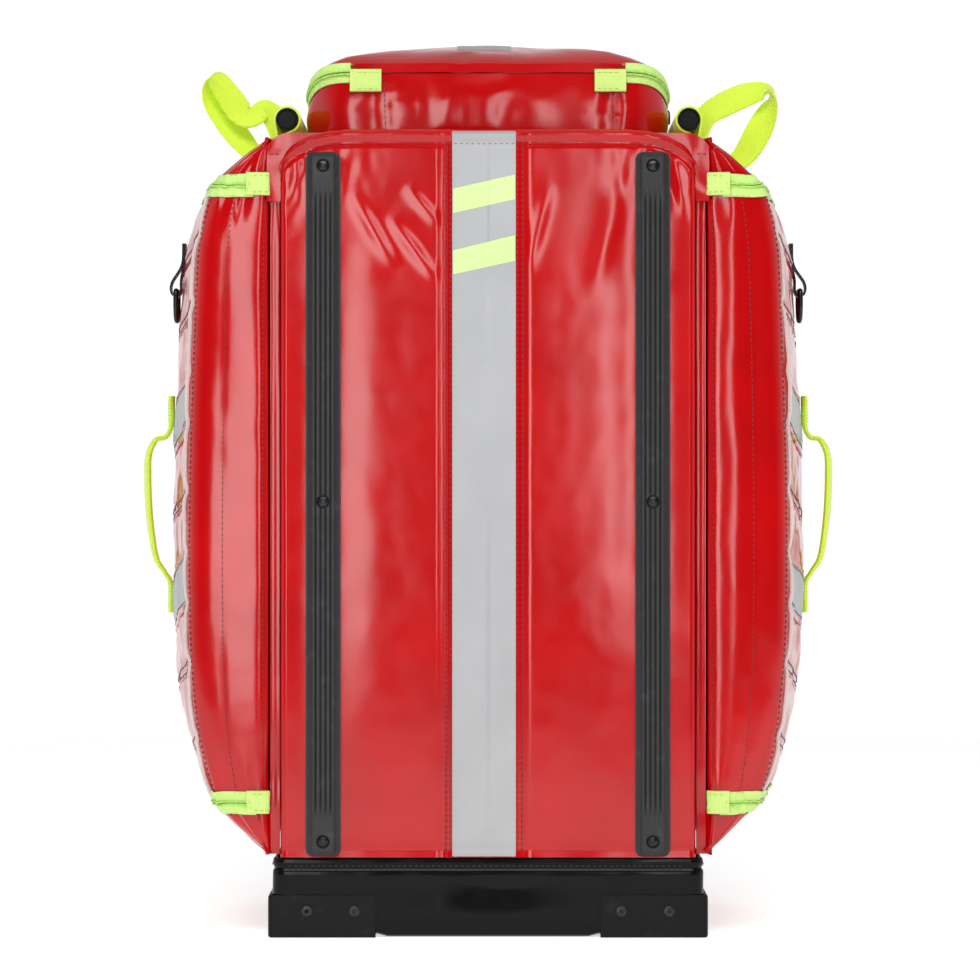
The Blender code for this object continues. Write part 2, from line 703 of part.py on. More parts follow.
def make_bodies():
    """The bodies that move, each with its empty on its joint's axis."""
    body("pack")
    body("lid", (0, POCKET_FRONT, ZIP_LINE), "pack")
    body("lid_slider", (0.1475, 0.045, zip_height(0.045)), "lid")
    for suffix, side in SIDES:
        door = "door_" + suffix
        body(door, (side * HINGE_X, HINGE_Y, 0.355), "pack")
        body("slider_" + suffix, (side * 0.2615, 0.065, 0.300), door)
        body("handle_" + suffix, (side * HANDLE_X, 0, 0.346), door)
        body("ring_" + suffix, (side * RING_X, 0, RING_Z), door)
        body("grip_" + suffix, (side * GRIP_SEAM_X, 0, GRIP_SEAM_Z), "pack")
        body("haul_" + suffix, (side * 0.190, HAUL_Y, 0.643), "pack")
        body("strap_" + suffix, (side * 0.050, *STRAP_PIVOT), "pack")
        body("wing_" + suffix, (side * WING_PIVOT_X, WING_PIVOT_Y, 0.120), "pack")


def main():
    make_bodies()
    front_panel()
    base_tray()
    upright_panels()
    pocket_wall()
    top_lid()
    lid_zipper()
    lid_slider()
    reflective_strip()
    back_pads()
    buckle("sternum", (0, 0.1600, STERNUM_Z), 0.018, ("strap_left", "strap_right"))
    for suffix, side in SIDES:
        door = "door_" + suffix
        divider("divider_" + suffix, side)
        side_frame("side_frame_" + suffix, side)
        side_door("side_door_" + suffix, side, door)
        door_zipper("door_zipper_" + suffix, side, door)
        door_slider("door_slider_" + suffix, side, "slider_" + suffix)
        skid_rail("skid_rail_" + suffix, side)
        for number, z in enumerate(RAIL_SCREW_Z):
            rail_screw(f"rail_screw_{suffix}_{number + 1}", side * RAIL_X, z)
        corner_guard("corner_guard_front_" + suffix, side, True)
        corner_guard("corner_guard_rear_" + suffix, side, False)
        for number, x in enumerate(GUARD_SCREW_X):
            guard_screw(f"guard_screw_{suffix}_{number + 1}", side * x)
        shoulder_grip(suffix, side)
        haul_loop(suffix, side)
        side_handle(suffix, side)
        d_ring(suffix, side)
        shoulder_strap(suffix, side)
        hip_wing(suffix, side)
        hip_buckle(suffix, side)


main()
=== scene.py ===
import math

import bpy
import numpy as np
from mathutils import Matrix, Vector, noise
from mathutils.bvhtree import BVHTree


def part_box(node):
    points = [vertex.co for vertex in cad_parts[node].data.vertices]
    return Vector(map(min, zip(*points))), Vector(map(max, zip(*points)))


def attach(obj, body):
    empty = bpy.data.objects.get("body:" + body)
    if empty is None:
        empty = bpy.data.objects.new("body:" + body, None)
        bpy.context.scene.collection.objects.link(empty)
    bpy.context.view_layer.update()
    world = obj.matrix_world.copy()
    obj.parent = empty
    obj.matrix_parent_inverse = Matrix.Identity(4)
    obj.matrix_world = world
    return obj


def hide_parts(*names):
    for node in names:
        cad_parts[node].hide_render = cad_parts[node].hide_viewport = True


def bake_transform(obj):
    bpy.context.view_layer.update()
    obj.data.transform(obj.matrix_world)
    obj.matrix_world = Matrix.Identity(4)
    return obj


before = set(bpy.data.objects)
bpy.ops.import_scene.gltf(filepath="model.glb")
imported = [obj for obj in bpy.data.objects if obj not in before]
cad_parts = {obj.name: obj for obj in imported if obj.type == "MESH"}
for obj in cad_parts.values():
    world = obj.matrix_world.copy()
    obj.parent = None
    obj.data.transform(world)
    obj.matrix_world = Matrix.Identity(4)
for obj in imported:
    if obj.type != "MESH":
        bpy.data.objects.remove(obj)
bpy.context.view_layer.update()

SIDES = (("left", -1), ("right", 1))

# Planes and edges taken from the frame
PANEL_LOW, PANEL_HIGH = (Vector(corner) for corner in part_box("front_panel"))
TRAY_LOW, TRAY_HIGH = (Vector(corner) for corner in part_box("base_tray"))
DECK_LOW, DECK_HIGH = (Vector(corner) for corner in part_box("top_deck"))
WALL_LOW, WALL_HIGH = (Vector(corner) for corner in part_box("top_pocket_wall"))
FRONT_Y = PANEL_LOW.y
HINGE_X = 0.176
POCKET_HALF, POCKET_RADIUS = WALL_HIGH.x, 0.040
POCKET_FRONT, POCKET_BACK = WALL_LOW.y, WALL_HIGH.y
ZIP_LINE, ZIP_DROP = 0.697, 0.017
WEBBING_WIDTH, TAB_SIZE = 0.025, (0.0185, 0.0018)

# Half a horizontal section of a side pocket, and how much of its offset each height has
SIDE_SECTION = (
    (-0.0085, -0.1500), (0.000, -0.1520), (0.012, -0.1545), (0.038, -0.1555), (0.058, -0.1510),
    (0.067, -0.1380), (0.074, -0.0980), (0.083, -0.0480), (0.088, 0.0000), (0.087, 0.0400),
    (0.080, 0.0750), (0.069, 0.0930), (0.048, 0.0990), (0.000, 0.1000),
)
SIDE_PROFILE = (
    (0.066, 0.03), (0.080, 0.27), (0.100, 0.55), (0.118, 0.71), (0.150, 0.85), (0.190, 0.94),
    (0.250, 1.00), (0.400, 0.99), (0.545, 0.90), (0.580, 0.80), (0.604, 0.65), (0.625, 0.36),
    (0.641, 0.03),
)
DOOR_LOW, DOOR_HIGH = 0.112, 0.598
ZIP_LOW, ZIP_HIGH = 0.107, 0.603
OPENING_LOW, OPENING_HIGH = 0.102, 0.608
SIDE_LOW, SIDE_HIGH = 0.066, 0.641
# Places along the section: the front corner, the widest point, and the edges behind the door
CORNER_U, WIDEST_U = 5.0, 8.0
DOOR_END, ZIP_U, FRAME_START, SECTION_END = 9.60, 9.75, 9.90, 13.0
U_LENGTH = 0.035  # metres to one step of u, near the zipper's rear line

# Half the width of the front edge left free of the zipper, which folds as the hinge
HINGE_HALF, LID_ZIP_HALF = 0.1045, 0.1110

FORWARD, BACKWARD, UP = Vector((0, -1, 0)), Vector((0, 1, 0)), Vector((0, 0, 1))


# ---------------------------------------------------------------- materials

RED = (0.50, 0.0004, 0.0020)
BLACK = (0.010, 0.0095, 0.011)
HI_VIS = (0.70, 0.96, 0.05)
TAB = (0.68, 0.92, 0.24)
TAPE = (0.66, 0.96, 0.26)
PALE = (0.62, 0.93, 0.33)
SILVER = (0.41, 0.415, 0.425)


class Look:
    """A Principled material under construction, with the few nodes that all looks share."""

    def __init__(self, name, color, roughness, slot, coords="UV", **sockets):
        self.material = bpy.data.materials.new(name)
        self.material.use_nodes = True
        self.tree = self.material.node_tree
        self.shader = self.tree.nodes["Principled BSDF"]
        self.shader.inputs["Base Color"].default_value = (*color, 1)
        self.shader.inputs["Roughness"].default_value = roughness
        for title, value in sockets.items():
            self.shader.inputs[title.replace("_", " ")].default_value = value
        self.color, self.slot = color, slot
        self.bump_end = None
        place = self.node("ShaderNodeTexCoord")
        self.coords = place.outputs[coords]
        self.solid = place.outputs["Object"]

    def node(self, kind, values=(), **settings):
        """A node with its settings, and its inputs set or linked in order."""
        made = self.tree.nodes.new(kind)
        for title, value in settings.items():
            setattr(made, title, value)
        for title, value in dict(values).items():
            if isinstance(value, bpy.types.NodeSocket):
                self.tree.links.new(value, made.inputs[title])
            else:
                made.inputs[title].default_value = value
        return made

    def math(self, operation, first, second=0.0):
        return self.node("ShaderNodeMath", {0: first, 1: second}, operation=operation).outputs[0]

    def turned(self, angle):
        """The surface coordinates, turned in their own plane."""
        turn = self.node("ShaderNodeMapping", {"Vector": self.coords, "Rotation": (0, 0, angle)})
        return turn.outputs["Vector"]

    def ridges(self, pitch, angle, axis="X"):
        """Sine ridges of a pitch in metres."""
        scale = 2 * math.pi / (20 * pitch)
        wave = self.node(
            "ShaderNodeTexWave", {"Vector": self.turned(angle), "Scale": scale}, bands_direction=axis
        )
        return wave.outputs["Fac"]

    def cloud(self, size, detail):
        """Noise with features of a size in metres."""
        values = {"Vector": self.solid, "Scale": 1 / size, "Detail": detail}
        return self.node("ShaderNodeTexNoise", values).outputs["Fac"]

    def bump(self, height, depth, strength):
        """Adds a height, in metres at its deepest, on top of the bumps so far."""
        values = {"Height": height, "Distance": depth, "Strength": strength}
        if self.bump_end is not None:
            values["Normal"] = self.bump_end
        self.bump_end = self.node("ShaderNodeBump", values).outputs["Normal"]
        self.tree.links.new(self.bump_end, self.shader.inputs["Normal"])

    def ramp(self, factor, low, high, first, last):
        """A colour that goes from first to last as factor goes from low to high."""
        made = self.node("ShaderNodeValToRGB", {"Fac": factor})
        made.color_ramp.elements[0].position = low
        made.color_ramp.elements[0].color = (*first, 1)
        made.color_ramp.elements[1].position = high
        made.color_ramp.elements[1].color = (*last, 1)
        return made.outputs["Color"]

    def vary_color(self, factor, darker, lighter, low=0.3, high=0.7):
        """The base colour, from a darker to a lighter share of itself."""
        first = tuple(value * darker for value in self.color)
        last = tuple(min(value * lighter, 1.0) for value in self.color)
        self.tree.links.new(self.ramp(factor, low, high, first, last), self.shader.inputs["Base Color"])

    def vary_roughness(self, factor, low, high):
        spread = self.node("ShaderNodeMapRange", {"Value": factor, "To Min": low, "To Max": high})
        self.tree.links.new(spread.outputs["Result"], self.shader.inputs["Roughness"])


def tarpaulin(name, color, slot, shine=0.5):
    """Glossy coated fabric: its scrim shows as a fine diagonal grid, over soft unevenness."""
    look = Look(name, color, 0.12, slot, Specular_IOR_Level=shine)
    scrim = look.math("MULTIPLY", look.ridges(0.0011, 0.78), look.ridges(0.0011, -0.78))
    look.bump(look.cloud(0.05, 2.0), 0.0006, 0.5)
    look.bump(look.cloud(0.009, 3.0), 0.0001, 0.2)
    look.bump(scrim, 0.00001, 0.5)
    look.vary_color(look.cloud(0.06, 4.0), 0.88, 1.04)
    look.vary_roughness(look.cloud(0.012, 5.0), 0.09, 0.17)
    return look


def webbing(name, color, slot, pitch=0.0013, painted_glow=0.0):
    """Flat woven webbing: rows across, broken by the warp's ribs. Its emission is a painted glow that
    lightens it where shade falls.
    """
    look = Look(name, color, 0.62, slot, Sheen_Weight=0.35, Sheen_Roughness=0.4,
                Emission_Color=(*color, 1.0), Emission_Strength=painted_glow)
    rows, ribs = look.ridges(pitch, 0, "Y"), look.ridges(pitch * 1.1, 0, "X")
    weave = look.math("MULTIPLY", rows, ribs)
    look.bump(weave, 0.00018, 0.8)
    look.bump(look.cloud(0.0012, 2.0), 0.00004, 0.5)
    look.vary_color(look.math("MULTIPLY", weave, look.cloud(0.004, 4.0)), 0.86, 1.06, 0.05, 0.5)
    return look


def woven_black(name, slot):
    """Matt nylon fabric."""
    pitch = 0.0011
    look = Look(name, BLACK, 0.82, slot, Sheen_Weight=0.25, Sheen_Roughness=0.5)
    weave = look.math("MULTIPLY", look.ridges(pitch, 0, "X"), look.ridges(pitch, 0, "Y"))
    look.bump(look.cloud(0.03, 2.0), 0.002, 0.3)
    look.bump(weave, 0.00025, 0.9)
    look.vary_color(weave, 0.6, 1.9, 0.1, 0.9)
    return look


def lining_cloth(name, color, slot):
    """Coated lining fabric of the upright inner panels, woven along and across them."""
    look = Look(name, color, 0.6, slot, coords="Object", Sheen_Weight=0.15)
    weave = look.math("MULTIPLY", look.ridges(0.0013, math.pi / 4), look.ridges(0.0013, 0, "Z"))
    look.bump(look.cloud(0.03, 2.0), 0.001, 0.4)
    look.bump(weave, 0.0002, 0.8)
    look.vary_color(weave, 0.75, 1.1, 0.1, 0.9)
    return look


def spacer_mesh(name, slot):
    """Open three-layer mesh: a grid of small dimples."""
    look = Look(name, (0.016, 0.016, 0.018), 0.88, slot, Sheen_Weight=0.2)
    cells = look.node(
        "ShaderNodeTexVoronoi", {"Vector": look.coords, "Scale": 1 / 0.0032, "Randomness": 0.15}
    ).outputs["Distance"]
    look.bump(cells, 0.0009, 1.0)
    look.vary_color(cells, 1.9, 0.25, 0.1, 0.55)
    return look


def plastic(name, color, slot, roughness=0.42, shine=0.3):
    """Moulded plastic: fine spark-eroded grain, scuffs, and edges rubbed lighter."""
    look = Look(name, color, roughness, slot, coords="Object", Specular_IOR_Level=shine)
    edge = look.node("ShaderNodeNewGeometry").outputs["Pointiness"]
    worn = look.math("MULTIPLY", look.cloud(0.010, 5.0), edge)
    lighter = tuple(min(value * 1.8 + 0.004, 1.0) for value in color)
    look.tree.links.new(look.ramp(worn, 0.29, 0.42, color, lighter), look.shader.inputs["Base Color"])
    look.vary_roughness(look.cloud(0.02, 5.0), roughness - 0.06, roughness + 0.08)
    look.bump(look.cloud(0.0005, 2.0), 0.00003, 0.5)
    look.bump(look.cloud(0.02, 3.0), 0.0002, 0.3)
    return look


def metal(name, color, slot, roughness):
    """Blackened or nickel-plated steel with fine turning marks and smudges."""
    look = Look(name, color, roughness, slot, coords="Object", Metallic=1.0)
    look.vary_roughness(look.cloud(0.002, 5.0), roughness - 0.08, roughness + 0.12)
    look.bump(look.cloud(0.0004, 2.0), 0.00002, 0.5)
    look.vary_color(look.cloud(0.003, 4.0), 0.75, 1.1)
    return look


def reflective(name, color, slot):
    """Reflective tape: fine diamond cells under a satin face, a little scuffed."""
    look = Look(name, color, 0.38, slot, Metallic=0.25, Specular_IOR_Level=0.6)
    cells = look.math("MULTIPLY", look.ridges(0.0022, 0.6), look.ridges(0.0022, -0.6))
    look.bump(look.cloud(0.03, 2.0), 0.0006, 0.4)
    look.bump(cells, 0.00003, 0.6)
    look.vary_color(look.cloud(0.05, 5.0), 0.94, 1.03)
    look.vary_roughness(look.cloud(0.008, 5.0), 0.34, 0.46)
    return look


def stitch_thread(name, color, slot):
    """Twisted polyester thread."""
    look = Look(name, color, 0.55, slot, coords="Object", Sheen_Weight=0.2)
    look.bump(look.cloud(0.0004, 1.0), 0.0001, 0.6)
    look.vary_color(look.cloud(0.002, 2.0), 0.7, 1.1)
    return look


LOOKS = {
    "red": tarpaulin("red_tarpaulin", RED, "red_tarpaulin"),
    "black": tarpaulin("black_tarpaulin", (0.0045, 0.004, 0.0045), "black_tarpaulin", 0.14),
    # The hi-vis webbing's emission is a painted glow that lightens it in shade.
    "hi_vis": webbing("hi_vis_webbing", HI_VIS, "webbing", painted_glow=0.12),
    "tab": webbing("pale_webbing", TAB, "webbing"),
    "strap": webbing("black_webbing", (0.013, 0.013, 0.015), "black_fabric", 0.0014),
    "tape": webbing("zipper_tape", TAPE, "zipper", 0.0009),
    "coil": stitch_thread("zipper_coil", (0.46, 0.80, 0.14), "zipper"),
    "cloth": woven_black("black_nylon", "black_fabric"),
    "mesh": spacer_mesh("spacer_mesh", "black_fabric"),
    "lining": lining_cloth("grey_lining", (0.16, 0.17, 0.19), "lining"),
    "plastic": plastic("black_plastic", (0.007, 0.0063, 0.0065), "black_plastic", 0.42, 0.14),
    "rail": plastic("rail_plastic", (0.024, 0.024, 0.026), "black_plastic", 0.36),
    "steel": metal("dark_steel", (0.045, 0.045, 0.050), "steel", 0.34),
    "nickel": metal("nickel_steel", (0.42, 0.42, 0.44), "steel", 0.26),
    "silver": reflective("silver_tape", SILVER, "silver"),
    "pale": reflective("pale_hi_vis_tape", PALE, "webbing"),
    "piping": tarpaulin("pale_piping", (0.72, 0.60, 0.58), "red_tarpaulin"),
    "thread": stitch_thread("red_thread", (0.20, 0.004, 0.006), "red_tarpaulin"),
    "dark_thread": stitch_thread("black_thread", (0.012, 0.012, 0.012), "black_fabric"),
    "pale_thread": stitch_thread("hi_vis_thread", (0.50, 0.72, 0.10), "webbing"),
}


# ---------------------------------------------------------------- mesh building

def round_turns(count):
    """Evenly spaced angles of one full turn."""
    return [2 * math.pi * k / count for k in range(count)]


def travelled(path):
    """The distance gone at each point of a path."""
    return np.r_[0, np.cumsum(np.linalg.norm(np.diff(path, axis=0), axis=1))]


class Piece:
    """Collects the points, faces and texture coordinates (in metres) of one piece."""

    def __init__(self):
        self.points, self.faces, self.uvs = [], [], []

    def grid(self, rows, flip=False, wrap=False):
        """A sheet of quads through rows of points; wrap joins each row's end to its start."""
        rows = np.asarray(rows, float)
        height, width = rows.shape[:2]
        start = len(self.points)
        self.points += [tuple(point) for point in rows.reshape(-1, 3)]
        across, along = travelled(rows[height // 2]), travelled(rows[:, width // 2])
        self.uvs += [(u, v) for v in along for u in across]
        for row in range(height - 1):
            for column in range(width if wrap else width - 1):
                after = (column + 1) % width
                low, high = start + row * width, start + (row + 1) * width
                face = (low + column, low + after, high + after, high + column)
                self.faces.append(face[::-1] if flip else face)
        return start

    def cap(self, start, count, flip=False):
        """One face over count points from start."""
        ring = tuple(range(start, start + count))
        self.faces.append(ring[::-1] if flip else ring)

    def loft(self, rows, flip=False):
        """A closed form through rings of points, with a face over each end."""
        start, count = self.grid(rows, flip, wrap=True), len(rows[0])
        self.cap(start, count, not flip)
        self.cap(start + (len(rows) - 1) * count, count, flip)

    def rim(self, first, second, height, width, flip=False):
        """Joins the borders of two sheets of the same size."""
        border = list(range(width)) + [row * width + width - 1 for row in range(1, height)]
        border += [(height - 1) * width + column for column in range(width - 2, -1, -1)]
        border += [row * width for row in range(height - 2, 0, -1)]
        for near, far in zip(border, border[1:] + border[:1]):
            face = (first + near, second + near, second + far, first + far)
            self.faces.append(face[::-1] if flip else face)

    def sheet(self, rows, thickness, flip=False):
        """A closed sheet: the given face, a second one behind it, and the rim between them."""
        outer = np.asarray(rows, float)
        normal = surface_normals(outer, flip)
        inner = outer - normal * thickness
        first, second = self.grid(outer, flip), self.grid(inner, not flip)
        self.rim(first, second, *outer.shape[:2], flip)

    def sweep(self, path, outline, frames=None, closed=False, scale=None):
        """An outline of (across, up) points swept along a path with the given frames."""
        path = np.asarray(path, float)
        side, up = frames if frames else path_frames(path, closed)
        size = np.ones(len(path)) if scale is None else np.asarray(scale, float)
        rows = []
        for index, point in enumerate(path):
            ring = [point + (side[index] * a + up[index] * b) * size[index] for a, b in outline]
            rows.append(ring)
        if closed:
            self.grid(rows + rows[:1], wrap=True)
        else:
            self.loft(rows)

    def tube(self, path, radius, sides=8, closed=False, scale=None):
        """A round tube along a path."""
        outline = [(radius * math.cos(turn), radius * math.sin(turn)) for turn in round_turns(sides)]
        self.sweep(path, outline, closed=closed, scale=scale)

    def stitches(self, path, normals, length=0.0030, pitch=0.0046, radius=0.00042, lift=0.0001):
        """A run of stitches along a path on a surface, given its normals or the one they share."""
        path = np.asarray(path, float)
        normals = np.broadcast_to(np.asarray(normals, float), path.shape)
        gone = travelled(path)
        count = max(int(gone[-1] / pitch), 1)
        for index in range(count):
            ends = []
            for share in (0.0, 0.2, 0.5, 0.8, 1.0):
                at = min((index + 0.5) * pitch + (share - 0.5) * length, gone[-1])
                place = [np.interp(at, gone, path[:, axis]) for axis in range(3)]
                out = np.array([np.interp(at, gone, normals[:, axis]) for axis in range(3)])
                ends.append(np.array(place) + out * (lift + radius * 0.6 * math.sin(math.pi * share)))
            self.tube(ends, radius, 6, scale=(0.35, 0.9, 1.0, 0.9, 0.35))

    def coil(self, line, pitch, radius):
        """A row of zipper teeth along a line: a tube that swells and narrows."""
        line = np.array(line)
        gone = travelled(line)
        count = int(gone[-1] / pitch)
        ats = np.linspace(0, gone[-1], count)
        path = np.stack([np.interp(ats, gone, line[:, axis]) for axis in range(3)], axis=1)
        self.tube(path, radius, 6, scale=[1.0 if k % 3 else 0.62 for k in range(count)])

    def make(self, name, look, body, replaces=(), smooth=35, ride=True):
        """The finished object, with its material and body."""
        mesh = bpy.data.meshes.new(name)
        mesh.from_pydata(self.points, [], self.faces)
        layer = mesh.uv_layers.new(name="UVMap")
        corners = np.empty(len(mesh.loops), int)
        mesh.loops.foreach_get("vertex_index", corners)
        layer.data.foreach_set("uv", np.asarray(self.uvs, float)[corners].reshape(-1))
        mesh.materials.append(LOOKS[look].material)
        mesh.shade_smooth()
        if smooth:
            mesh.set_sharp_from_angle(angle=math.radians(smooth))
        made = bpy.data.objects.new(name, mesh)
        bpy.context.collection.objects.link(made)
        if ride:
            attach(made, body)
        if replaces:
            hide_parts(*replaces)
        return made


def surface_normals(rows, flip):
    """Unit normals of a grid of points."""
    normal = np.cross(np.gradient(rows, axis=1), np.gradient(rows, axis=0))
    normal /= np.maximum(np.linalg.norm(normal, axis=2, keepdims=True), 1e-12)
    return -normal if flip else normal


def path_frames(path, closed=False):
    """Unit side and up vectors that turn as little as they can along a path."""
    ahead = np.gradient(path, axis=0)
    if closed:
        ahead = np.roll(path, -1, axis=0) - np.roll(path, 1, axis=0)
    ahead /= np.maximum(np.linalg.norm(ahead, axis=1, keepdims=True), 1e-12)
    start = np.array((0.0, 0.0, 1.0)) if abs(ahead[0][2]) < 0.9 else np.array((0.0, 1.0, 0.0))
    side, up = [], []
    last = start
    for along in ahead:
        flat = last - along * np.dot(last, along)
        flat /= max(np.linalg.norm(flat), 1e-12)
        side.append(np.cross(flat, along))
        up.append(flat)
        last = flat
    return np.array(side), np.array(up)


def flat_frames(path, across):
    """Frames for a strap whose width stays along one direction, or along one at each point."""
    path = np.asarray(path, float)
    across = np.asarray(across, float)
    if across.ndim == 1:
        across = np.tile(across, (len(path), 1))
    ahead = np.gradient(path, axis=0)
    ahead /= np.maximum(np.linalg.norm(ahead, axis=1, keepdims=True), 1e-12)
    up = np.cross(ahead, across)
    up /= np.maximum(np.linalg.norm(up, axis=1, keepdims=True), 1e-12)
    side = np.cross(up, ahead)
    return side, up


def strap_outline(width, thickness, steps):
    """The cross-section of webbing, with soft edges."""
    half, edge = width / 2, thickness / 2
    inset = min(thickness * 0.45, half * 0.3)
    lower = [(-half + inset + (width - 2 * inset) * k / steps, -edge) for k in range(steps + 1)]
    upper = [(-x, edge) for x, _ in lower]
    return lower + [(half, 0.0)] + upper + [(-half, 0.0)]


def strap(name, look, body, path, across, size, stands_for=(), steps=4, ride=True):
    """A strap of a width and thickness along a path, with its width along a direction."""
    piece = Piece()
    piece.sweep(path, strap_outline(*size, steps), frames=flat_frames(path, across))
    return piece.make(name, look, body, stands_for, ride=ride)


def curve_through(points, steps=8):
    """Points of the Catmull-Rom curve through the given points."""
    known = [Vector(point) for point in points]
    known = [2 * known[0] - known[1]] + known + [2 * known[-1] - known[-2]]
    made = []
    for index in range(1, len(known) - 2):
        before, start, end, after = known[index - 1:index + 3]
        for step in range(steps):
            t = step / steps
            bend = (2 * before - 5 * start + 4 * end - after) * t * t
            twist = (3 * start - before - 3 * end + after) * t ** 3
            made.append((2 * start + (end - before) * t + bend + twist) / 2)
    return made + [known[-2]]


def curve_value(table, at):
    """Smooth value, at a position, of a table of (position, value) pairs."""
    last = len(table) - 1
    index = max([k for k in range(last) if table[k][0] <= at], default=0)
    (start, low), (end, high) = table[index], table[index + 1]
    before, after = table[max(index - 1, 0)], table[min(index + 2, last)]
    span = end - start
    leave = (high - before[1]) / (end - before[0]) * span
    arrive = (after[1] - low) / (after[0] - start) * span
    t = min(max((at - start) / span, 0.0), 1.0)
    held = (2 * t ** 3 - 3 * t * t + 1) * low + (3 * t * t - 2 * t ** 3) * high
    return held + (t ** 3 - 2 * t * t + t) * leave + (t ** 3 - t * t) * arrive


def bell(distance, width):
    """1 at no distance, falling smoothly to nothing a few widths away."""
    return math.exp(-(distance / width) ** 2)


def ripple(x, y, z, size, seed=0.0):
    """Smooth noise from -1 to 1 with features of a size."""
    return noise.noise(Vector((x / size + seed, y / size, z / size)))


def spread(start, end, count):
    return [start + (end - start) * k / (count - 1) for k in range(count)]


# ---------------------------------------------------------------- side pocket surface

SECTION_X = [(k, point[0]) for k, point in enumerate(SIDE_SECTION)]
SECTION_Y = [(k, point[1]) for k, point in enumerate(SIDE_SECTION)]


def side_base(side, u, z):
    """A point of a side pocket's plain outer surface, u counting along its section."""
    offset = curve_value(SECTION_X, u)
    if offset > 0:
        offset *= curve_value(SIDE_PROFILE, z)
    return Vector((side * (HINGE_X + offset), curve_value(SECTION_Y, u), z))


def side_out(side, u, z):
    """The plain surface's outward normal."""
    along = side_base(side, u + 0.02, z) - side_base(side, u - 0.02, z)
    rise = side_base(side, u, z + 0.001) - side_base(side, u, z - 0.001)
    return (side * along.cross(rise)).normalized()


# Where the side's raised bands start at the front corner, and how wide they are
NARROW_BANDS = (0.566, 0.510, 0.359, 0.219, 0.161)
SILVER_BANDS = (0.434, 0.288)
NARROW_WIDTH, SILVER_WIDTH = 0.011, 0.042


# How far the pocket's front face is pressed in, at distances out from its hinge
FRONT_TILT = {
    -1: ((0.0, 0.0), (0.006, 0.0001), (0.040, 0.0025), (0.070, 0.0)),
    1: ((0.0, 0.0), (0.006, 0.0001), (0.023, 0.0007), (0.042, 0.0029), (0.070, 0.0)),
}


def chevron(u):
    """How far a band has dropped at u: down to the side's middle, and up again behind it."""
    middle = curve_value(SECTION_Y, WIDEST_U)
    start = curve_value(SECTION_Y, CORNER_U)
    y = curve_value(SECTION_Y, u)
    return 0.19 * ((y - start) if y < middle else (2 * middle - start - y))


def side_relief(side, u, z):
    """Height of the pocket's padding, seams and creases above the plain surface."""
    y = curve_value(SECTION_Y, u)
    relief = 0.0
    if u > CORNER_U - 0.3:
        drop = chevron(max(u, CORNER_U))
        for band in NARROW_BANDS:
            relief -= 0.0022 * bell(z - (band - drop), 0.006)
        for band in SILVER_BANDS:
            edge = abs(z - (band - drop)) - SILVER_WIDTH / 2
            relief -= 0.0018 * bell(edge, 0.006)
    seam_x = abs(side_base(side, u, 0.3).x) - HINGE_X
    if u < CORNER_U:
        relief -= 0.0003 * bell(seam_x - 0.038, 0.0012)
        relief -= 0.0020 * bell(seam_x + 0.002, 0.004)
        relief -= curve_value(FRONT_TILT[side], min(max(seam_x, 0.0), 0.070))
        relief += 0.0010 * ripple(seam_x, z * 0.45, side * 5.3, 0.045)
        relief += 0.0001 * ripple(seam_x, z * 0.6, side * 2.2, 0.014)
    relief -= 0.0022 * bell(u - CORNER_U - 0.25, 0.10)
    near_end = bell(z - ZIP_LOW, 0.030) + bell(z - ZIP_HIGH, 0.026)
    pleats = ripple(y + seam_x, z * 0.25, side * 3.1, 0.013)
    relief += 0.0026 * near_end * pleats
    if u > CORNER_U:
        relief += 0.0024 * ripple(y, z, side * 1.7, 0.055) + 0.0010 * ripple(y, z, side, 0.018)
    return relief


def side_point(side, u, z, lift=0.0):
    """A point lying on the finished pocket surface, or lifted off it."""
    return side_base(side, u, z) + side_out(side, u, z) * (side_relief(side, u, z) + lift)


def side_rows(side, us, zs, lift=0.0):
    return [[side_point(side, u, z, lift) for u in us] for z in zs]


def section_steps(start, end, pitch=0.0035):
    """Values of u from start to end, about a pitch apart on the widest section."""
    fine = spread(start, end, 200)
    gone = travelled(np.array([side_base(1, u, 0.3) for u in fine]))
    count = max(int(gone[-1] / pitch), 2)
    return [float(np.interp(at, gone, fine)) for at in np.linspace(0, gone[-1], count)]


def side_strip(piece, side, centre, width, thickness, lift=0.0):
    """Webbing or tape lying on the pocket along a list of (u, z) points."""
    path = [side_point(side, u, z, lift + thickness / 2) for u, z in centre]
    outs = [side_out(side, u, z) for u, z in centre]
    ahead = np.gradient(np.array(path), axis=0)
    across = [Vector(out).cross(Vector(along)).normalized() for out, along in zip(outs, ahead)]
    piece.sweep(path, strap_outline(width, thickness, 4), frames=(np.array(across), np.array(outs)))


def side_patch(piece, side, centre, width, thickness, lift=0.0, steps=12):
    """Tape that follows the pocket's surface all across its width."""
    rows = [[side_point(side, u, z + offset, lift) for u, z in centre]
            for offset in spread(-width / 2, width / 2, steps)]
    piece.sheet(rows, thickness, side < 0)


def side_stitches(piece, side, centre, lift=0.0, **sizes):
    path = [side_point(side, u, z, lift) for u, z in centre]
    piece.stitches(path, [side_out(side, u, z) for u, z in centre], **sizes)


def zipper_route(inset):
    """(u, z) points along the zipper's line, moved in from it, with rounded rear corners."""
    low, high = ZIP_LOW + inset, ZIP_HIGH - inset
    start, back = 2.25, ZIP_U - inset / U_LENGTH
    radius_u, radius_z, steps = 0.45, 0.016, 10
    turns = [math.pi / 2 * k / steps for k in range(1, steps)]
    points = [(u, high) for u in spread(start, back - radius_u, 44)]
    points += [(back - radius_u * (1 - math.sin(turn)), high - radius_z * (1 - math.cos(turn)))
               for turn in turns]
    points += [(back, z) for z in spread(high - radius_z, low + radius_z, 60)]
    points += [(back - radius_u * (1 - math.cos(turn)), low + radius_z * (1 - math.sin(turn)))
               for turn in turns]
    return points + [(u, low) for u in spread(back - radius_u, start, 44)]


# ---------------------------------------------------------------- side pockets

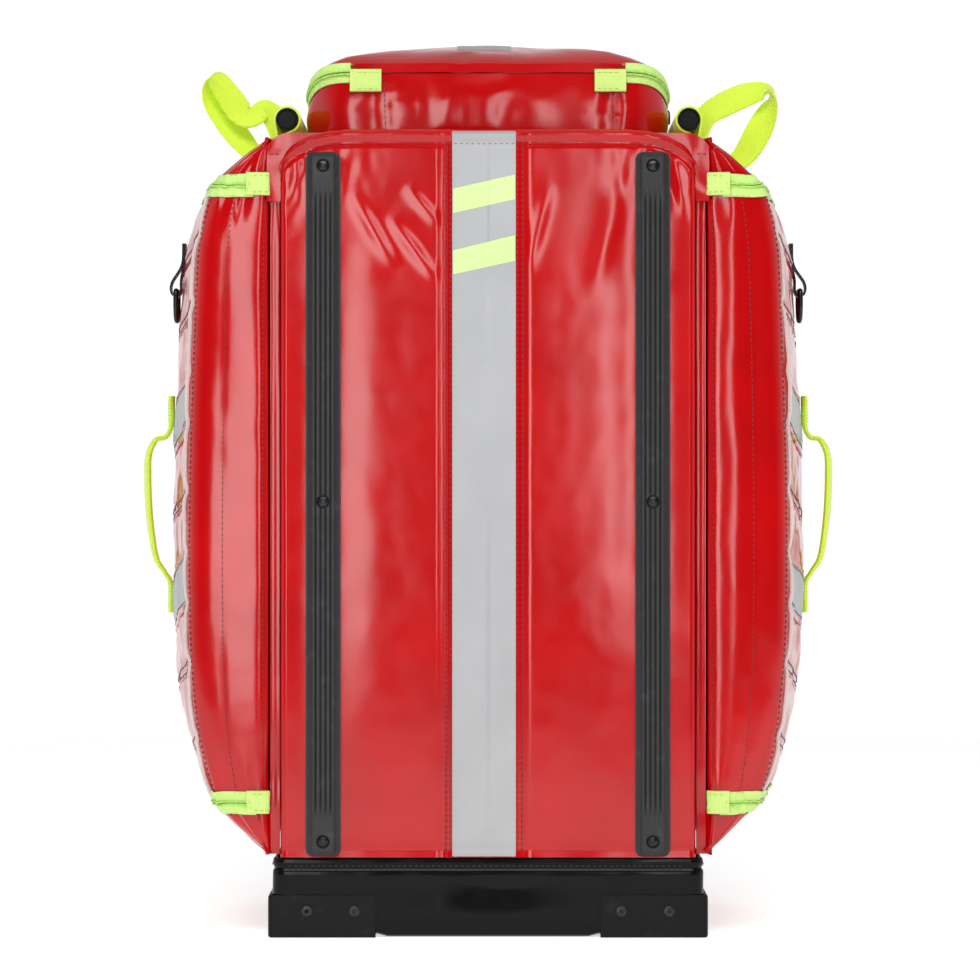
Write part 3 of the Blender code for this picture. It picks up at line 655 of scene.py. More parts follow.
def side_pocket(suffix, side):
    """Door, fixed frame, zipper, piping, bands and stitching of one pocket."""
    door, flip = "door_" + suffix, side < 0

    shell = Piece()
    us = section_steps(1.02, DOOR_END)
    zs = spread(DOOR_LOW, DOOR_HIGH, 150)
    shell.sheet(side_rows(side, us, zs), 0.0042, flip)
    shell.make("door_shell_" + suffix, "red", door, ("side_door_" + suffix,))

    fixed = Piece()
    wide, rear = section_steps(0.0, SECTION_END), section_steps(FRAME_START, SECTION_END)
    for us, zs in ((wide, spread(OPENING_HIGH, SIDE_HIGH, 16)),
                   (wide, spread(SIDE_LOW, OPENING_LOW, 14)),
                   (rear, spread(OPENING_LOW, OPENING_HIGH, 90)),
                   (spread(0.0, 0.85, 5), spread(OPENING_LOW, OPENING_HIGH, 60))):
        fixed.sheet(side_rows(side, us, zs), 0.003, flip)
    fixed.make("pocket_frame_" + suffix, "red", "pack", ("side_frame_" + suffix,))

    zipper(suffix, side)
    bands(suffix, side)
    pocket_seams(suffix, side)
    zipper_tabs(suffix, side)


def zipper(suffix, side):
    """Two tapes and two rows of coil: one of each on the door, the others on the frame."""
    for title, body, sign in (("door", "door_" + suffix, 1), ("pack", "pack", -1)):
        tape = Piece()
        side_strip(tape, side, zipper_route(sign * 0.0052), 0.0082, 0.0012, 0.0006)
        stands_for = ("door_zipper_" + suffix,) if title == "door" else ()
        tape.make(f"zipper_tape_{title}_{suffix}", "tape", body, stands_for)
        coil = Piece()
        line = [side_point(side, u, z, 0.0024) for u, z in zipper_route(sign * 0.00105)]
        coil.coil(line, 0.00055, 0.0011)
        coil.make(f"zipper_coil_{title}_{suffix}", "coil", body, smooth=60)
        seam = Piece()
        side_stitches(seam, side, zipper_route(sign * 0.0082), 0.0014, radius=0.0003)
        seam.make(f"zipper_stitching_{title}_{suffix}", "pale_thread", body)


def bands(suffix, side):
    """Double-stitched ribs and silver tapes that wrap the side in a shallow chevron."""
    door = "door_" + suffix
    us = section_steps(CORNER_U + 0.32, DOOR_END - 0.06, 0.004)
    ribs, thread, tape = Piece(), Piece(), Piece()
    for start in NARROW_BANDS:
        centre = [(u, start - chevron(u)) for u in us]
        side_patch(ribs, side, centre, NARROW_WIDTH, 0.0012, 0.0012, 6)
        for offset in (-0.0032, 0.0032):
            side_stitches(thread, side, [(u, z + offset) for u, z in centre], 0.0012)
    for start in SILVER_BANDS:
        centre = [(u, start - chevron(u)) for u in us]
        side_patch(tape, side, centre, SILVER_WIDTH, 0.0012, 0.0013, 20)
        for edge in (-1, 1):
            line = [(u, z + edge * (SILVER_WIDTH / 2 + 0.001)) for u, z in centre]
            side_strip(ribs, side, line, 0.005, 0.0022, 0.0)
            side_stitches(thread, side, [(u, z - edge * 0.004) for u, z in line], 0.0013)
    ribs.make("side_ribs_" + suffix, "red", door)
    tape.make("side_silver_" + suffix, "silver", door)
    thread.make("side_stitching_" + suffix, "dark_thread", door)


def pocket_seams(suffix, side):
    """Piping round the front corner, the front seam, and the stitching by the hinge."""
    door = "door_" + suffix
    zs = spread(DOOR_LOW + 0.002, DOOR_HIGH - 0.002, 120)
    piping = Piece()
    piping.tube([side_point(side, CORNER_U + 0.12, z, 0.0006) for z in zs], 0.0021)
    piping.make("corner_piping_" + suffix, "piping", door)
    thread = Piece()
    front_u = float(np.interp(0.0372, [point[0] for point in SIDE_SECTION[:4]], range(4)))
    for u in (front_u, CORNER_U - 0.35, 1.5):
        side_stitches(thread, side, [(u, z) for z in zs], 0.0002)
    thread.make("door_stitching_" + suffix, "thread", door)
    roof = Piece()
    for z in (0.6125, 0.0975):
        side_stitches(roof, side, [(u, z) for u in spread(2.0, 12.4, 120)], 0.0003)
    for u in (11.0, 11.15):
        side_stitches(roof, side, [(u, z) for z in spread(0.100, 0.612, 120)], 0.0003)
    roof.make("frame_stitching_" + suffix, "thread", "pack")


def zipper_tabs(suffix, side):
    """Box-stitched webbing tabs that cover the zipper's two front ends."""
    ends, half = (1.27, 2.50), 0.0065
    for title, zipper_z in (("top", ZIP_HIGH), ("bottom", ZIP_LOW)):
        z = zipper_z + 0.001
        tab, thread = Piece(), Piece()
        side_strip(tab, side, [(u, z) for u in spread(1.15, 2.62, 14)], *TAB_SIZE, 0.0034)
        tab.make(f"zipper_tab_{title}_{suffix}", "tab", "pack")
        lines = [[(u, z + offset) for u in spread(*ends, 14)] for offset in (-half, half)]
        lines += [[(u, z + step) for step in spread(-half, half, 6)] for u in ends]
        for line in lines:
            side_stitches(thread, side, line, 0.0053, radius=0.0003)
        thread.make(f"tab_stitching_{title}_{suffix}", "pale_thread", "pack")


# How a slider's body narrows from end to end
SLIDER_SCALE = (0.55, 0.85, 1.0, 1.0, 1.0, 1.0, 0.92, 0.8, 0.5)


def door_slider(suffix, side):
    """Zipper slider: a domed body with a bridge and a webbing pull."""
    body = "slider_" + suffix
    z = 0.300
    out = side_out(side, ZIP_U, z)
    home = side_base(side, ZIP_U, z) + out * 0.0048
    across = out.cross(UP)
    shell = Piece()
    path = [home + UP * s for s in spread(-0.010, 0.010, 9)]
    frames = (np.array([across] * 9), np.array([out] * 9))
    shell.sweep(path, strap_outline(0.0105, 0.0052, 4), frames=frames, scale=SLIDER_SCALE)
    bridge = curve_through([home + UP * s + out * h for s, h in (
        (0.006, 0.002), (0.005, 0.0052), (0.0, 0.0060), (-0.005, 0.0048), (-0.006, 0.0020))], 5)
    shell.sweep(bridge, strap_outline(0.0034, 0.0014, 3), frames=flat_frames(bridge, across))
    shell.make("slider_body_" + suffix, "nickel", body, ("door_slider_" + suffix,))
    hang = curve_through([home + UP * s + out * h for s, h in (
        (-0.003, 0.0036), (-0.010, 0.0046), (-0.024, 0.0036), (-0.040, 0.0032), (-0.052, 0.0032))], 5)
    strap("slider_pull_" + suffix, "strap", body, hang, across, (0.0095, 0.0020))


# ---------------------------------------------------------------- handles and rings

def side_handle(suffix, side):
    """Webbing handle with box-stitched ends on the door."""
    door, body = "door_" + suffix, "handle_" + suffix
    low, high = (Vector(corner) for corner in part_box("side_handle_" + suffix))
    reach = max(abs(low.x), abs(high.x)) - 0.0015
    surface = abs(side_point(side, WIDEST_U, 0.40).x)
    route = [(surface + 0.0026, 0.4375), (surface + 0.0030, 0.414), (surface + 0.0072, 0.4035)]
    route += [(reach - 0.007, 0.4005), (reach - 0.001, 0.389), (reach, 0.372), (reach - 0.0008, 0.346)]
    route += [(reach - 0.0032, 0.322), (reach - 0.0072, 0.301), (surface + 0.0085, 0.2890)]
    route += [(surface + 0.0034, 0.279), (surface + 0.0026, 0.2555)]
    path = curve_through([(side * x, 0, z) for x, z in route], 8)
    across = []
    for k in range(len(path)):
        turn = 0.20 * math.sin(math.pi * k / (len(path) - 1))
        across.append((side * math.sin(turn), math.cos(turn), 0))
    made = strap("handle_webbing_" + suffix, "hi_vis", body, path, across, (WEBBING_WIDTH, 0.0040),
                 ("side_handle_" + suffix,), 6, ride=False)
    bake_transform(made)
    thread = Piece()
    half = 0.0095
    for low_z, high_z in ((0.415, 0.434), (0.259, 0.277)):
        corners = [(-half, low_z), (half, low_z), (half, high_z), (-half, high_z), (-half, low_z)]
        corners += [(half, high_z), (half, low_z), (-half, high_z)]
        for (y0, z0), (y1, z1) in zip(corners, corners[1:]):
            line = [Vector((side * (surface + 0.0037), y0 + (y1 - y0) * s, z0 + (z1 - z0) * s))
                    for s in spread(0, 1, 8)]
            thread.stitches(line, (side, 0, 0), length=0.0020, pitch=0.0028, radius=0.0003, lift=0.0008)
    thread.make("handle_stitching_" + suffix, "pale_thread", door)


# Routes of the haul loops as (distance out, height, twist in degrees)
HAUL_ROUTES = {
    "left": (
        (0.1795, 0.6440, 0), (0.1790, 0.6560, 30), (0.1815, 0.6740, 55), (0.1915, 0.6860, 45),
        (0.2010, 0.6800, 50), (0.2110, 0.6815, 62), (0.2225, 0.6965, 60), (0.2335, 0.7120, 38),
        (0.2385, 0.7110, -10), (0.2345, 0.6930, -58), (0.2190, 0.6680, -60), (0.2030, 0.6480, -40),
        (0.1965, 0.6350, 0),
    ),
    "right": (
        (0.1795, 0.6440, 0), (0.1810, 0.6600, 30), (0.1870, 0.6790, 50), (0.2030, 0.6900, 62),
        (0.2230, 0.6985, 58), (0.2400, 0.7010, 30), (0.2425, 0.6920, -20), (0.2340, 0.6700, -62),
        (0.2215, 0.6480, -55), (0.2080, 0.6360, -30), (0.1985, 0.6340, 0),
    ),
}


def haul_loop(suffix, side):
    """A squashed standing loop of wide webbing, folded on itself and twisted."""
    body = "haul_" + suffix
    route = curve_through([(x, z, math.radians(turn)) for x, z, turn in HAUL_ROUTES[suffix]], 8)
    path = [Vector((side * x, 0.060 + 0.003 * math.sin(k * 0.09), z))
            for k, (x, z, _) in enumerate(route)]
    ahead = np.gradient(np.array(path), axis=0)
    across = []
    for along, (_, _, turn) in zip(ahead, route):
        flat = Vector(along).cross(Vector((0, side, 0))).normalized()
        across.append(BACKWARD * math.cos(turn) + flat * math.sin(turn))
    made = strap("haul_webbing_" + suffix, "hi_vis", body, path, across, (WEBBING_WIDTH, 0.0024),
                 ("haul_loop_" + suffix,), 6, ride=False)
    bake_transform(made)


def ring_and_tab(suffix, side):
    """A folded black webbing tab that holds a D-ring against the pocket."""
    door, body = "door_" + suffix, "ring_" + suffix
    bar_x, bar_z = 0.2625, 0.526
    surface, lower = (abs(side_point(side, WIDEST_U, z).x) for z in (0.55, 0.52))
    around = [(surface + 0.0018, 0.566), (surface + 0.0030, 0.548), (bar_x + 0.0040, 0.5330)]
    around += [(bar_x + 0.0043, 0.5245), (bar_x, 0.5212), (lower + 0.0016, 0.5250)]
    around += [(lower + 0.0012, 0.536), (surface + 0.0006, 0.552), (surface + 0.0002, 0.566)]
    path = curve_through([(side * x, 0, z) for x, z in around], 6)
    strap("ring_webbing_" + suffix, "strap", door, path, BACKWARD, (0.0165, 0.0013),
          ("ring_tab_" + suffix,))
    half, drop, wire, corner = 0.012, 0.010, 0.0022, 0.0035
    route = [(y, bar_z) for y in spread(-half + corner, half - corner, 5)]
    for k in range(1, 6):
        turn = math.pi / 2 * (1 - k / 6)
        route.append((half - corner * (1 - math.cos(turn)), bar_z - corner * (1 - math.sin(turn))))
    for k in range(25):
        turn = math.pi * k / 24
        route.append((half * math.cos(turn), bar_z - drop - (half + 0.003) * math.sin(turn)))
    for k in range(1, 6):
        turn = math.pi / 2 * k / 6
        route.append((-half + corner * (1 - math.cos(turn)), bar_z - corner * (1 - math.sin(turn))))
    ring = Piece()
    ring.tube([(side * bar_x, y, z) for y, z in route], wire, 14, closed=True)
    ring.make("steel_ring_" + suffix, "steel", body, ("d_ring_" + suffix,))


def shoulder_grip(suffix, side):
    """A black carrying tube in a wrap of webbing whose tail is sewn into the shoulder."""
    body = "grip_" + suffix
    low, high = (Vector(corner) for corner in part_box("grip_tube_" + suffix))
    x, z = (low.x + high.x) / 2, (low.z + high.z) / 2
    seam = Vector((side * 0.1712, 0, 0.6440))
    tube, bore, lip = 0.009, 0.0070, 0.0008
    profile = [(bore, low.y + 0.0014), (bore, low.y + lip), (bore + lip, low.y), (tube - lip, low.y)]
    profile += [(tube, low.y + lip), (tube, high.y - lip), (tube - lip, high.y), (bore + lip, high.y)]
    profile += [(bore, high.y - lip), (bore, high.y - 0.0014)]
    turned = Piece()
    turns = round_turns(40)
    turned.loft([[(x + radius * math.cos(turn), y, z + radius * math.sin(turn)) for turn in turns]
                 for radius, y in profile], flip=True)
    turned.make("grip_core_" + suffix, "plastic", body, ("grip_tube_" + suffix,))

    centre = Vector((x, 0, z))
    tail = seam - centre
    reach, towards = tail.length, math.atan2(tail.z, tail.x)
    wrap = tube + 0.0020
    opening = math.acos(wrap / reach)
    turns = spread(towards + opening, towards + 2 * math.pi - opening, 40)
    ring = [centre + Vector((math.cos(turn), 0, math.sin(turn))) * wrap for turn in turns]
    off = Vector((-tail.z, 0, tail.x)).normalized() * 0.0009
    path = [seam + off + tail * 0.10, seam + off, *ring, seam - off, seam - off + tail * 0.10]
    sleeve = Piece()
    front, back = low.y + 0.0025, high.y - 0.0025
    rows = [[(point.x, y, point.z) for point in path] for y in spread(front, back, 30)]
    sleeve.sheet(rows, 0.0016, flip=True)
    made = sleeve.make("grip_wrap_" + suffix, "hi_vis", body, ("grip_sleeve_" + suffix,), ride=False)
    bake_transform(made)
    thread = Piece()
    out = Vector((side * 0.9, 0, 0.45)).normalized()
    for share in (0.35, 0.55):
        line = [centre + tail * (0.5 + share * 0.35) + Vector((side * 0.0034, y, 0.0016))
                for y in spread(front + 0.004, back - 0.004, 40)]
        thread.stitches(line, out, radius=0.0003)
    thread.make("grip_stitching_" + suffix, "pale_thread", body)


# ---------------------------------------------------------------- front panel

STRIP_CENTRE, STRIP_WIDTH = -0.0032, 0.0508
STRIP_EDGES = (STRIP_CENTRE - STRIP_WIDTH / 2, STRIP_CENTRE + STRIP_WIDTH / 2)
RAIL_X = 0.132
# How hard each rail pulls the panel in, by height
RAIL_TENSION = {
    -1: ((0.07, 0.20), (0.16, 0.40), (0.26, 0.85), (0.36, 1.00), (0.48, 0.85), (0.57, 0.35),
         (0.65, 0.10)),
    1: ((0.07, 0.05), (0.18, 0.15), (0.27, 0.55), (0.36, 0.95), (0.50, 1.05), (0.60, 0.90),
        (0.65, 0.40)),
}
# Diagonal folds, as (start, end, height, width)
PANEL_CREASES = (
    ((-0.1100, 0.5980), (-0.0740, 0.5360), 0.0010, 0.0050),
    ((-0.0660, 0.6020), (-0.0380, 0.5700), 0.0009, 0.0042),
    ((-0.0800, 0.5780), (-0.0400, 0.5260), 0.0011, 0.0048),
    ((0.0500, 0.6060), (0.0300, 0.5300), 0.0007, 0.0052),
    ((0.1060, 0.6040), (0.0820, 0.5100), 0.0006, 0.0080),
)
PANEL_EDGE = PANEL_HIGH.x


def panel_top(x):
    """Height of the front panel's top edge: level, then down at both shoulders."""
    shoulders = (
        (0.0, 0.6475), (0.118, 0.6475), (0.138, 0.6440), (0.154, 0.6370), (0.163, 0.6280),
        (0.1665, 0.6160),
    )
    return curve_value(shoulders, min(abs(x), 0.1665))


def crease(x, z, start, end, width):
    """A fold's share of its height at a point: it runs between two points and dies out at both."""
    along = Vector((end[0] - start[0], end[1] - start[1]))
    offset = Vector((x - start[0], z - start[1]))
    share = offset.dot(along) / along.length_squared
    across = (offset.x * along.y - offset.y * along.x) / along.length
    fade = math.sin(math.pi * share) if 0.0 < share < 1.0 else 0.0
    return fade * bell(across, width)


def panel_relief(x, z):
    """Height of the panel's seams, folds and unevenness in front of its plane."""
    top = panel_top(x)
    relief = 0.0
    for edge, outward in zip(STRIP_EDGES, (-1, 1)):
        relief += 0.0016 * bell(x - (edge + outward * 0.0032), 0.0020)
        relief -= 0.0010 * bell(x - (edge + outward * 0.0075), 0.0022)
    relief += 0.0022 * bell(z - (top - 0.0045), 0.0034)
    relief -= 0.0009 * bell(z - (top - 0.0108), 0.0028)
    near = max(abs(abs(x) - RAIL_X) - 0.014, 0.0)
    tension = 0.0011 * curve_value(RAIL_TENSION[1 if x > 0 else -1], z)
    relief += tension - tension * bell(near, 0.016)
    for start, end, height, width in PANEL_CREASES:
        relief += height * crease(x, z, start, end, width)
    relief += 0.0004 * ripple(x, z * 0.30, 0.3, 0.060) + 0.0001 * ripple(x, z * 0.7, 2.0, 0.02)
    corner = bell(z - (top - 0.030), 0.022) * bell(abs(x) - 0.140, 0.030)
    relief += 0.0022 * corner * ripple(x, z * 0.4, 7.0, 0.010)
    relief -= 0.0014 * bell(z - 0.070, 0.004)
    return relief


def panel_point(x, z, lift=0.0):
    """A point on the panel's face, which curls back at its sides and top."""
    radius = 0.005
    side_room = max(abs(x) - (PANEL_EDGE - radius), 0.0) / radius
    top_room = max(z - (panel_top(x) - radius), 0.0) / radius
    curl = min(math.hypot(side_room, top_room), 1.0)
    back = radius * (1 - math.sqrt(max(1 - curl * curl, 0.0)))
    return Vector((x, FRONT_Y - panel_relief(x, z) - lift + back, z))


def front_panel():
    """The red face, the silver strip with its slanting bands, and their stitching."""
    edge = PANEL_EDGE
    xs = sorted(set(spread(-edge, edge, 130) + [side * (edge - step) for side in (-1, 1)
                                                 for step in (0.0006, 0.0014, 0.0034, 0.005)]))
    face = Piece()
    rows = []
    for share in spread(0, 1, 240):
        eased = 1 - (1 - share) ** 1.15
        rows.append([panel_point(x, PANEL_LOW.z + (panel_top(x) - PANEL_LOW.z) * eased) for x in xs])
    face.sheet(rows, 0.0042)
    face.make("front_face", "red", "pack", ("front_panel",))

    strip = Piece()
    width = STRIP_WIDTH / 2
    top = panel_top(0)
    rows = [[panel_point(STRIP_CENTRE + x, z, 0.0006) for x in spread(-width, width, 30)]
            for z in spread(PANEL_LOW.z + 0.001, top - 0.0015, 260)]
    strip.sheet(rows, 0.0005)
    strip.make("front_silver", "silver", "pack", ("reflective_strip",))
    for number, (left, right) in enumerate((((0.580, 0.5995), (0.5915, 0.611)),
                                            ((0.531, 0.550), (0.542, 0.5625)))):
        band = Piece()
        rows = []
        for share in spread(0, 1, 14):
            row = []
            for x in spread(-width + 0.0008, width - 0.0008, 26):
                along = (x + width) / (2 * width)
                low = left[0] + (right[0] - left[0]) * along
                high = left[1] + (right[1] - left[1]) * along
                row.append(panel_point(STRIP_CENTRE + x, low + (high - low) * share, 0.0010))
            rows.append(row)
        band.sheet(rows, 0.0004)
        band.make(f"front_band_{number + 1}", "pale", "pack")

    thread = Piece()
    zs = spread(PANEL_LOW.z + 0.004, top - 0.006, 220)
    for outward, seam in zip((-1, 1), STRIP_EDGES):
        for offset in (0.0014, 0.0052):
            thread.stitches([panel_point(seam + outward * offset, z, 0.0004) for z in zs], FORWARD)
    drop = 0.0118
    line = [panel_point(x, panel_top(x) - drop, 0.0002) for x in spread(-0.150, 0.150, 200)]
    thread.stitches(line, FORWARD)
    thread.make("front_stitching", "thread", "pack")


def skid_rail(suffix):
    """A moulded rail: rounded ends, a raised ridge with fading grooves, three screw seats."""
    low, high = (Vector(corner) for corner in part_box("skid_rail_" + suffix))
    middle, half = (low.x + high.x) / 2, (high.x - low.x) / 2
    front, back = low.y, high.y
    thick, base = back - front, 0.0026
    ridge, corner = 0.0092, 0.006

    def outline(z):
        near = min(z - low.z, high.z - z)
        room = min(near / corner, 1.0)
        return half - corner * (1 - math.sqrt(max(1 - (1 - room) ** 2, 0.0)))

    def height(x, z):
        near = min(z - low.z, high.z - z)
        edge_fade = min(near / 0.004, 1.0)
        slope = min(max((ridge + 0.0014 - abs(x)) / 0.0022, 0.0), 1.0)
        lifted = base + (thick - base) * slope * slope * (3 - 2 * slope)
        fade = min(max((near - 0.030) / 0.012, 0.0), 1.0)
        for line in (-0.0060, -0.0020, 0.0020, 0.0060):
            lifted -= 0.0011 * fade * bell(x - line, 0.00055)
        rim = max(half - 0.0016 - abs(x), 0.0)
        return lifted * (0.35 + 0.65 * edge_fade) - 0.0011 * (1 - min(rim / 0.0016, 1.0)) ** 2

    seats = [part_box(f"rail_screw_{suffix}_{number}") for number in (1, 2, 3)]
    seats = [(lower[2] + upper[2]) / 2 for lower, upper in seats]
    zs = set(spread(low.z, high.z, 240))
    zs |= set(spread(low.z, low.z + corner, 10)) | set(spread(high.z - corner, high.z, 10))
    rows = []
    for z in sorted(zs):
        wide = outline(z)
        rows.append([(middle + share * wide, back - height(share * wide, z), z)
                     for share in spread(-1, 1, 61)])
    rail = Piece()
    outer = np.array(rows)
    flat = outer.copy()
    flat[:, :, 1] = back
    rail.rim(rail.grid(outer), rail.grid(flat, flip=True), *outer.shape[:2])
    made = rail.make("rail_" + suffix, "rail", "pack", ("skid_rail_" + suffix,))
    for z in seats:
        cutter = Piece()
        cutter.loft([[(middle + r * math.cos(t), y, z + r * math.sin(t)) for t in round_turns(40)]
                     for r, y in ((0.0062, front - 0.002), (0.0053, front + 0.0006),
                                  (0.0050, back - 0.0019), (0.0026, back - 0.0018),
                                  (0.0026, back + 0.002))], flip=True)
        carve(made, cutter)


def carve(made, cutter):
    """Cuts a closed shape out of a piece, for good."""
    mesh = bpy.data.meshes.new("cutter")
    mesh.from_pydata(cutter.points, [], cutter.faces)
    tool = bpy.data.objects.new("cutter", mesh)
    bpy.context.collection.objects.link(tool)
    cut = made.modifiers.new("Cut", "BOOLEAN")
    cut.operation = "DIFFERENCE"
    cut.object = tool
    settled(made)
    bpy.data.objects.remove(tool, do_unlink=True)


def settled(made):
    """Applies a piece's modifiers to its mesh."""
    bpy.context.view_layer.update()
    graph = bpy.context.evaluated_depsgraph_get()
    shown = made.evaluated_get(graph)
    mesh = bpy.data.meshes.new_from_object(shown, preserve_all_data_layers=True, depsgraph=graph)
    made.modifiers.clear()
    made.data = mesh
    mesh.set_sharp_from_angle(angle=math.radians(32))


def socket_screw(name, node, dome):
    """A turned screw head with a hexagon socket, standing where its CAD node stands."""
    low, high = (Vector(corner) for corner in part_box(node))
    x, z = (low.x + high.x) / 2, (low.z + high.z) / 2
    radius, front = (high.x - low.x) / 2, low.y
    crown = 0.0011 if dome else 0.0004
    socket = radius * 0.42
    turns = round_turns(36)

    def circle(size, y):
        return [(x + size * math.cos(turn), y, z + size * math.sin(turn)) for turn in turns]

    def hexagon(size, y):
        points = []
        for turn in turns:
            off_flat = (turn + math.pi / 6) % (math.pi / 3) - math.pi / 6
            reach = size * math.cos(math.pi / 6) / math.cos(off_flat)
            points.append((x + reach * math.cos(turn), y, z + reach * math.sin(turn)))
        return points

    rows = [circle(radius * 0.5, high.y), circle(radius * 0.5, front + crown + 0.0010)]
    rows += [circle(radius, front + crown + 0.0009), circle(radius, front + crown + 0.0003)]
    for share in (0.92, 0.80, 0.64):
        rows.append(circle(radius * share, front + crown * share ** 2))
    rows += [hexagon(socket, front + 0.00006), hexagon(socket * 0.94, front + 0.0003)]
    rows += [hexagon(socket * 0.92, front + 0.0015)]
    screw = Piece()
    screw.loft(rows)
    screw.make(name, "steel", "pack", (node,), smooth=30)


# ---------------------------------------------------------------- base and guards

def plan_ring(half_x, front, back, radius, z, steps=8, straights=12):
    """A rounded rectangle in plan, counter-clockwise from above, with points along its sides."""
    centres = ((half_x - radius, front + radius, -90), (half_x - radius, back - radius, 0),
               (radius - half_x, back - radius, 90), (radius - half_x, front + radius, 180))
    corners = []
    for x, y, begin in centres:
        turns = [math.radians(begin + 90 * k / steps) for k in range(steps + 1)]
        corners.append([(x + radius * math.cos(turn), y + radius * math.sin(turn), z) for turn in turns])
    ring = []
    for corner, after in zip(corners, corners[1:] + corners[:1]):
        ring += corner
        start, end = np.array(corner[-1]), np.array(after[0])
        ring += [tuple(start + (end - start) * k / straights) for k in range(1, straights)]
    return ring


def base():
    """The glossy black base: a soft-cornered tray with a bound upper edge."""
    half, front, back = TRAY_HIGH.x, TRAY_LOW.y, TRAY_HIGH.y
    low, high = TRAY_LOW.z, TRAY_HIGH.z
    levels = [(0.030, low + 0.0006), (0.008, low), (0.0030, low + 0.0003), (0.0010, low + 0.0018),
              (0.0, low + 0.007)]
    levels += [(0.0, z) for z in spread(low + 0.010, high - 0.012, 14)]
    levels += [(0.0004, high - 0.010), (0.0016, high - 0.0085), (0.0006, high - 0.0065)]
    levels += [(0.0, high - 0.004), (0.0006, high - 0.001), (0.002, high), (0.0042, high - 0.0006)]
    levels += [(0.0048, high - 0.004), (0.0048, low + 0.008), (0.008, low + 0.0056)]
    levels += [(0.030, low + 0.0052)]
    rows = []
    for number, (inset, z) in enumerate(levels):
        radius = max(0.010 - inset * 0.3, 0.004)
        ring = plan_ring(half - inset, front + inset, back - inset, radius, z, 8, 40)
        soft = 4 < number < len(levels) - 7
        bent = []
        for x, y, height in ring:
            push = 0.0008 * ripple(x, y, height * 0.6, 0.035) if soft else 0.0
            if soft and y < front + 0.02:
                push -= 0.0022 * bell(x, 0.075) * bell(height - low - 0.012, 0.02)
            outward = Vector((x / half, 2 * (y - (front + back) / 2) / (back - front), 0))
            # Between the guards the fabric sags towards the floor
            between = min(max((0.0875 - abs(x)) / 0.004, 0.0), 1.0)
            height -= 0.0022 * between * min(max((low + 0.012 - height) / 0.010, 0.0), 1.0)
            if abs(outward.x) > abs(outward.y):
                bent.append((x + math.copysign(push, x), y, height))
            else:
                bent.append((x, y + math.copysign(push, outward.y), height))
        rows.append(bent)
    tray = Piece()
    tray.loft(rows)
    tray.make("base_shell", "black", "pack", ("base_tray",))
    thread = Piece()
    xs = spread(-half + 0.012, half - 0.012, 160)
    seam = high - 0.0062
    thread.stitches([Vector((x, front - 0.0002, seam)) for x in xs], FORWARD)
    for side in (-1, 1):
        ys = spread(front + 0.012, back - 0.012, 100)
        thread.stitches([Vector((side * (half + 0.0002), y, seam)) for y in ys], (side, 0, 0))
    thread.make("base_stitching", "dark_thread", "pack")


def corner_guard(name, side, front):
    """Moulded corner guard: two walls round a generous corner, and a foot underneath."""
    node = f"corner_guard_{name}"
    low, high = (Vector(corner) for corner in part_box(node))
    outer_x = max(abs(low.x), abs(high.x))
    inner_x = min(abs(low.x), abs(high.x))
    face = low.y if front else high.y
    end = high.y if front else low.y
    facing = -1 if front else 1
    wall, foot, top, radius = 0.0030, 0.0020, high.z, 0.0042

    def path(inset):
        x_edge, y_edge = outer_x - inset, face - facing * inset
        r = max(radius - inset, 0.0004)
        points = [(inner_x + (x_edge - r - inner_x) * k / 16, y_edge) for k in range(17)]
        for k in range(1, 9):
            turn = math.pi / 2 * k / 8
            points.append((x_edge - r + r * math.sin(turn), y_edge - facing * (r - r * math.cos(turn))))
        length = abs(end - y_edge) - r
        points += [(x_edge, y_edge - facing * (r + length * k / 12)) for k in range(1, 13)]
        return points

    profile = [(0.0012, 0.0), (0.0004, 0.0006), (0.0, 0.0018)]
    profile += [(0.0, z) for z in spread(0.005, top - 0.004, 8)] + [(0.0002, top - 0.0010)]
    profile += [(0.0011, top), (wall - 0.0010, top), (wall - 0.0001, top - 0.0009)]
    profile += [(wall, foot + 0.0006)]
    shell = Piece()
    flip = (side > 0) != front
    shell.grid([[(side * x, y, z) for x, y in path(inset)] for inset, z in profile], flip=flip)
    # The foot's underside and upper side fan in from the walls to the guard's inner corner
    for (inset, edge_z), inner_z, turned in ((profile[0], 0.0, not flip), (profile[-1], foot, flip)):
        edge = np.array([(side * x, y, edge_z) for x, y in path(inset)])
        corner = np.array((side * inner_x * 0.999, end, inner_z))
        shell.grid([edge * (1 - share) + corner * share for share in spread(0, 1, 8)], flip=turned)
    shell.make("guard_" + name, "plastic", "pack", (node,))


# ---------------------------------------------------------------- top pocket and lid

def zip_height(y):
    """Height of the top zipper's line: it drops round the front corners."""
    t = min(max((y - POCKET_FRONT) / 0.045, 0.0), 1.0)
    return ZIP_LINE - ZIP_DROP * t * t * (3 - 2 * t)


def pocket_ring(inset, rise=None, z=None):
    """A ring of the top pocket, at a rise above the zipper's line or at a plain height."""
    ring = plan_ring(POCKET_HALF - inset, POCKET_FRONT + inset, POCKET_BACK - inset,
                     max(POCKET_RADIUS - inset, 0.008), 0.0, 14, 30)
    edge = plan_ring(POCKET_HALF, POCKET_FRONT, POCKET_BACK, POCKET_RADIUS, 0.0, 14, 30)
    made = []
    for (x, y, _), (_, edge_y, _) in zip(ring, edge):
        height = z if rise is None else zip_height(edge_y) + rise
        made.append(Vector((x, y, height)))
    return made


def wall_top(inset):
    """The wall's upper edge: under the zipper, and up to the lid where the lid hinges."""
    ring = pocket_ring(inset, rise=-0.0060)
    for point in ring:
        if abs(point.x) < HINGE_HALF and point.y < POCKET_FRONT + 0.02:
            point.z = ZIP_LINE - 0.0004
    return ring


WALL_SEAMS = (-0.0865, 0.0985)


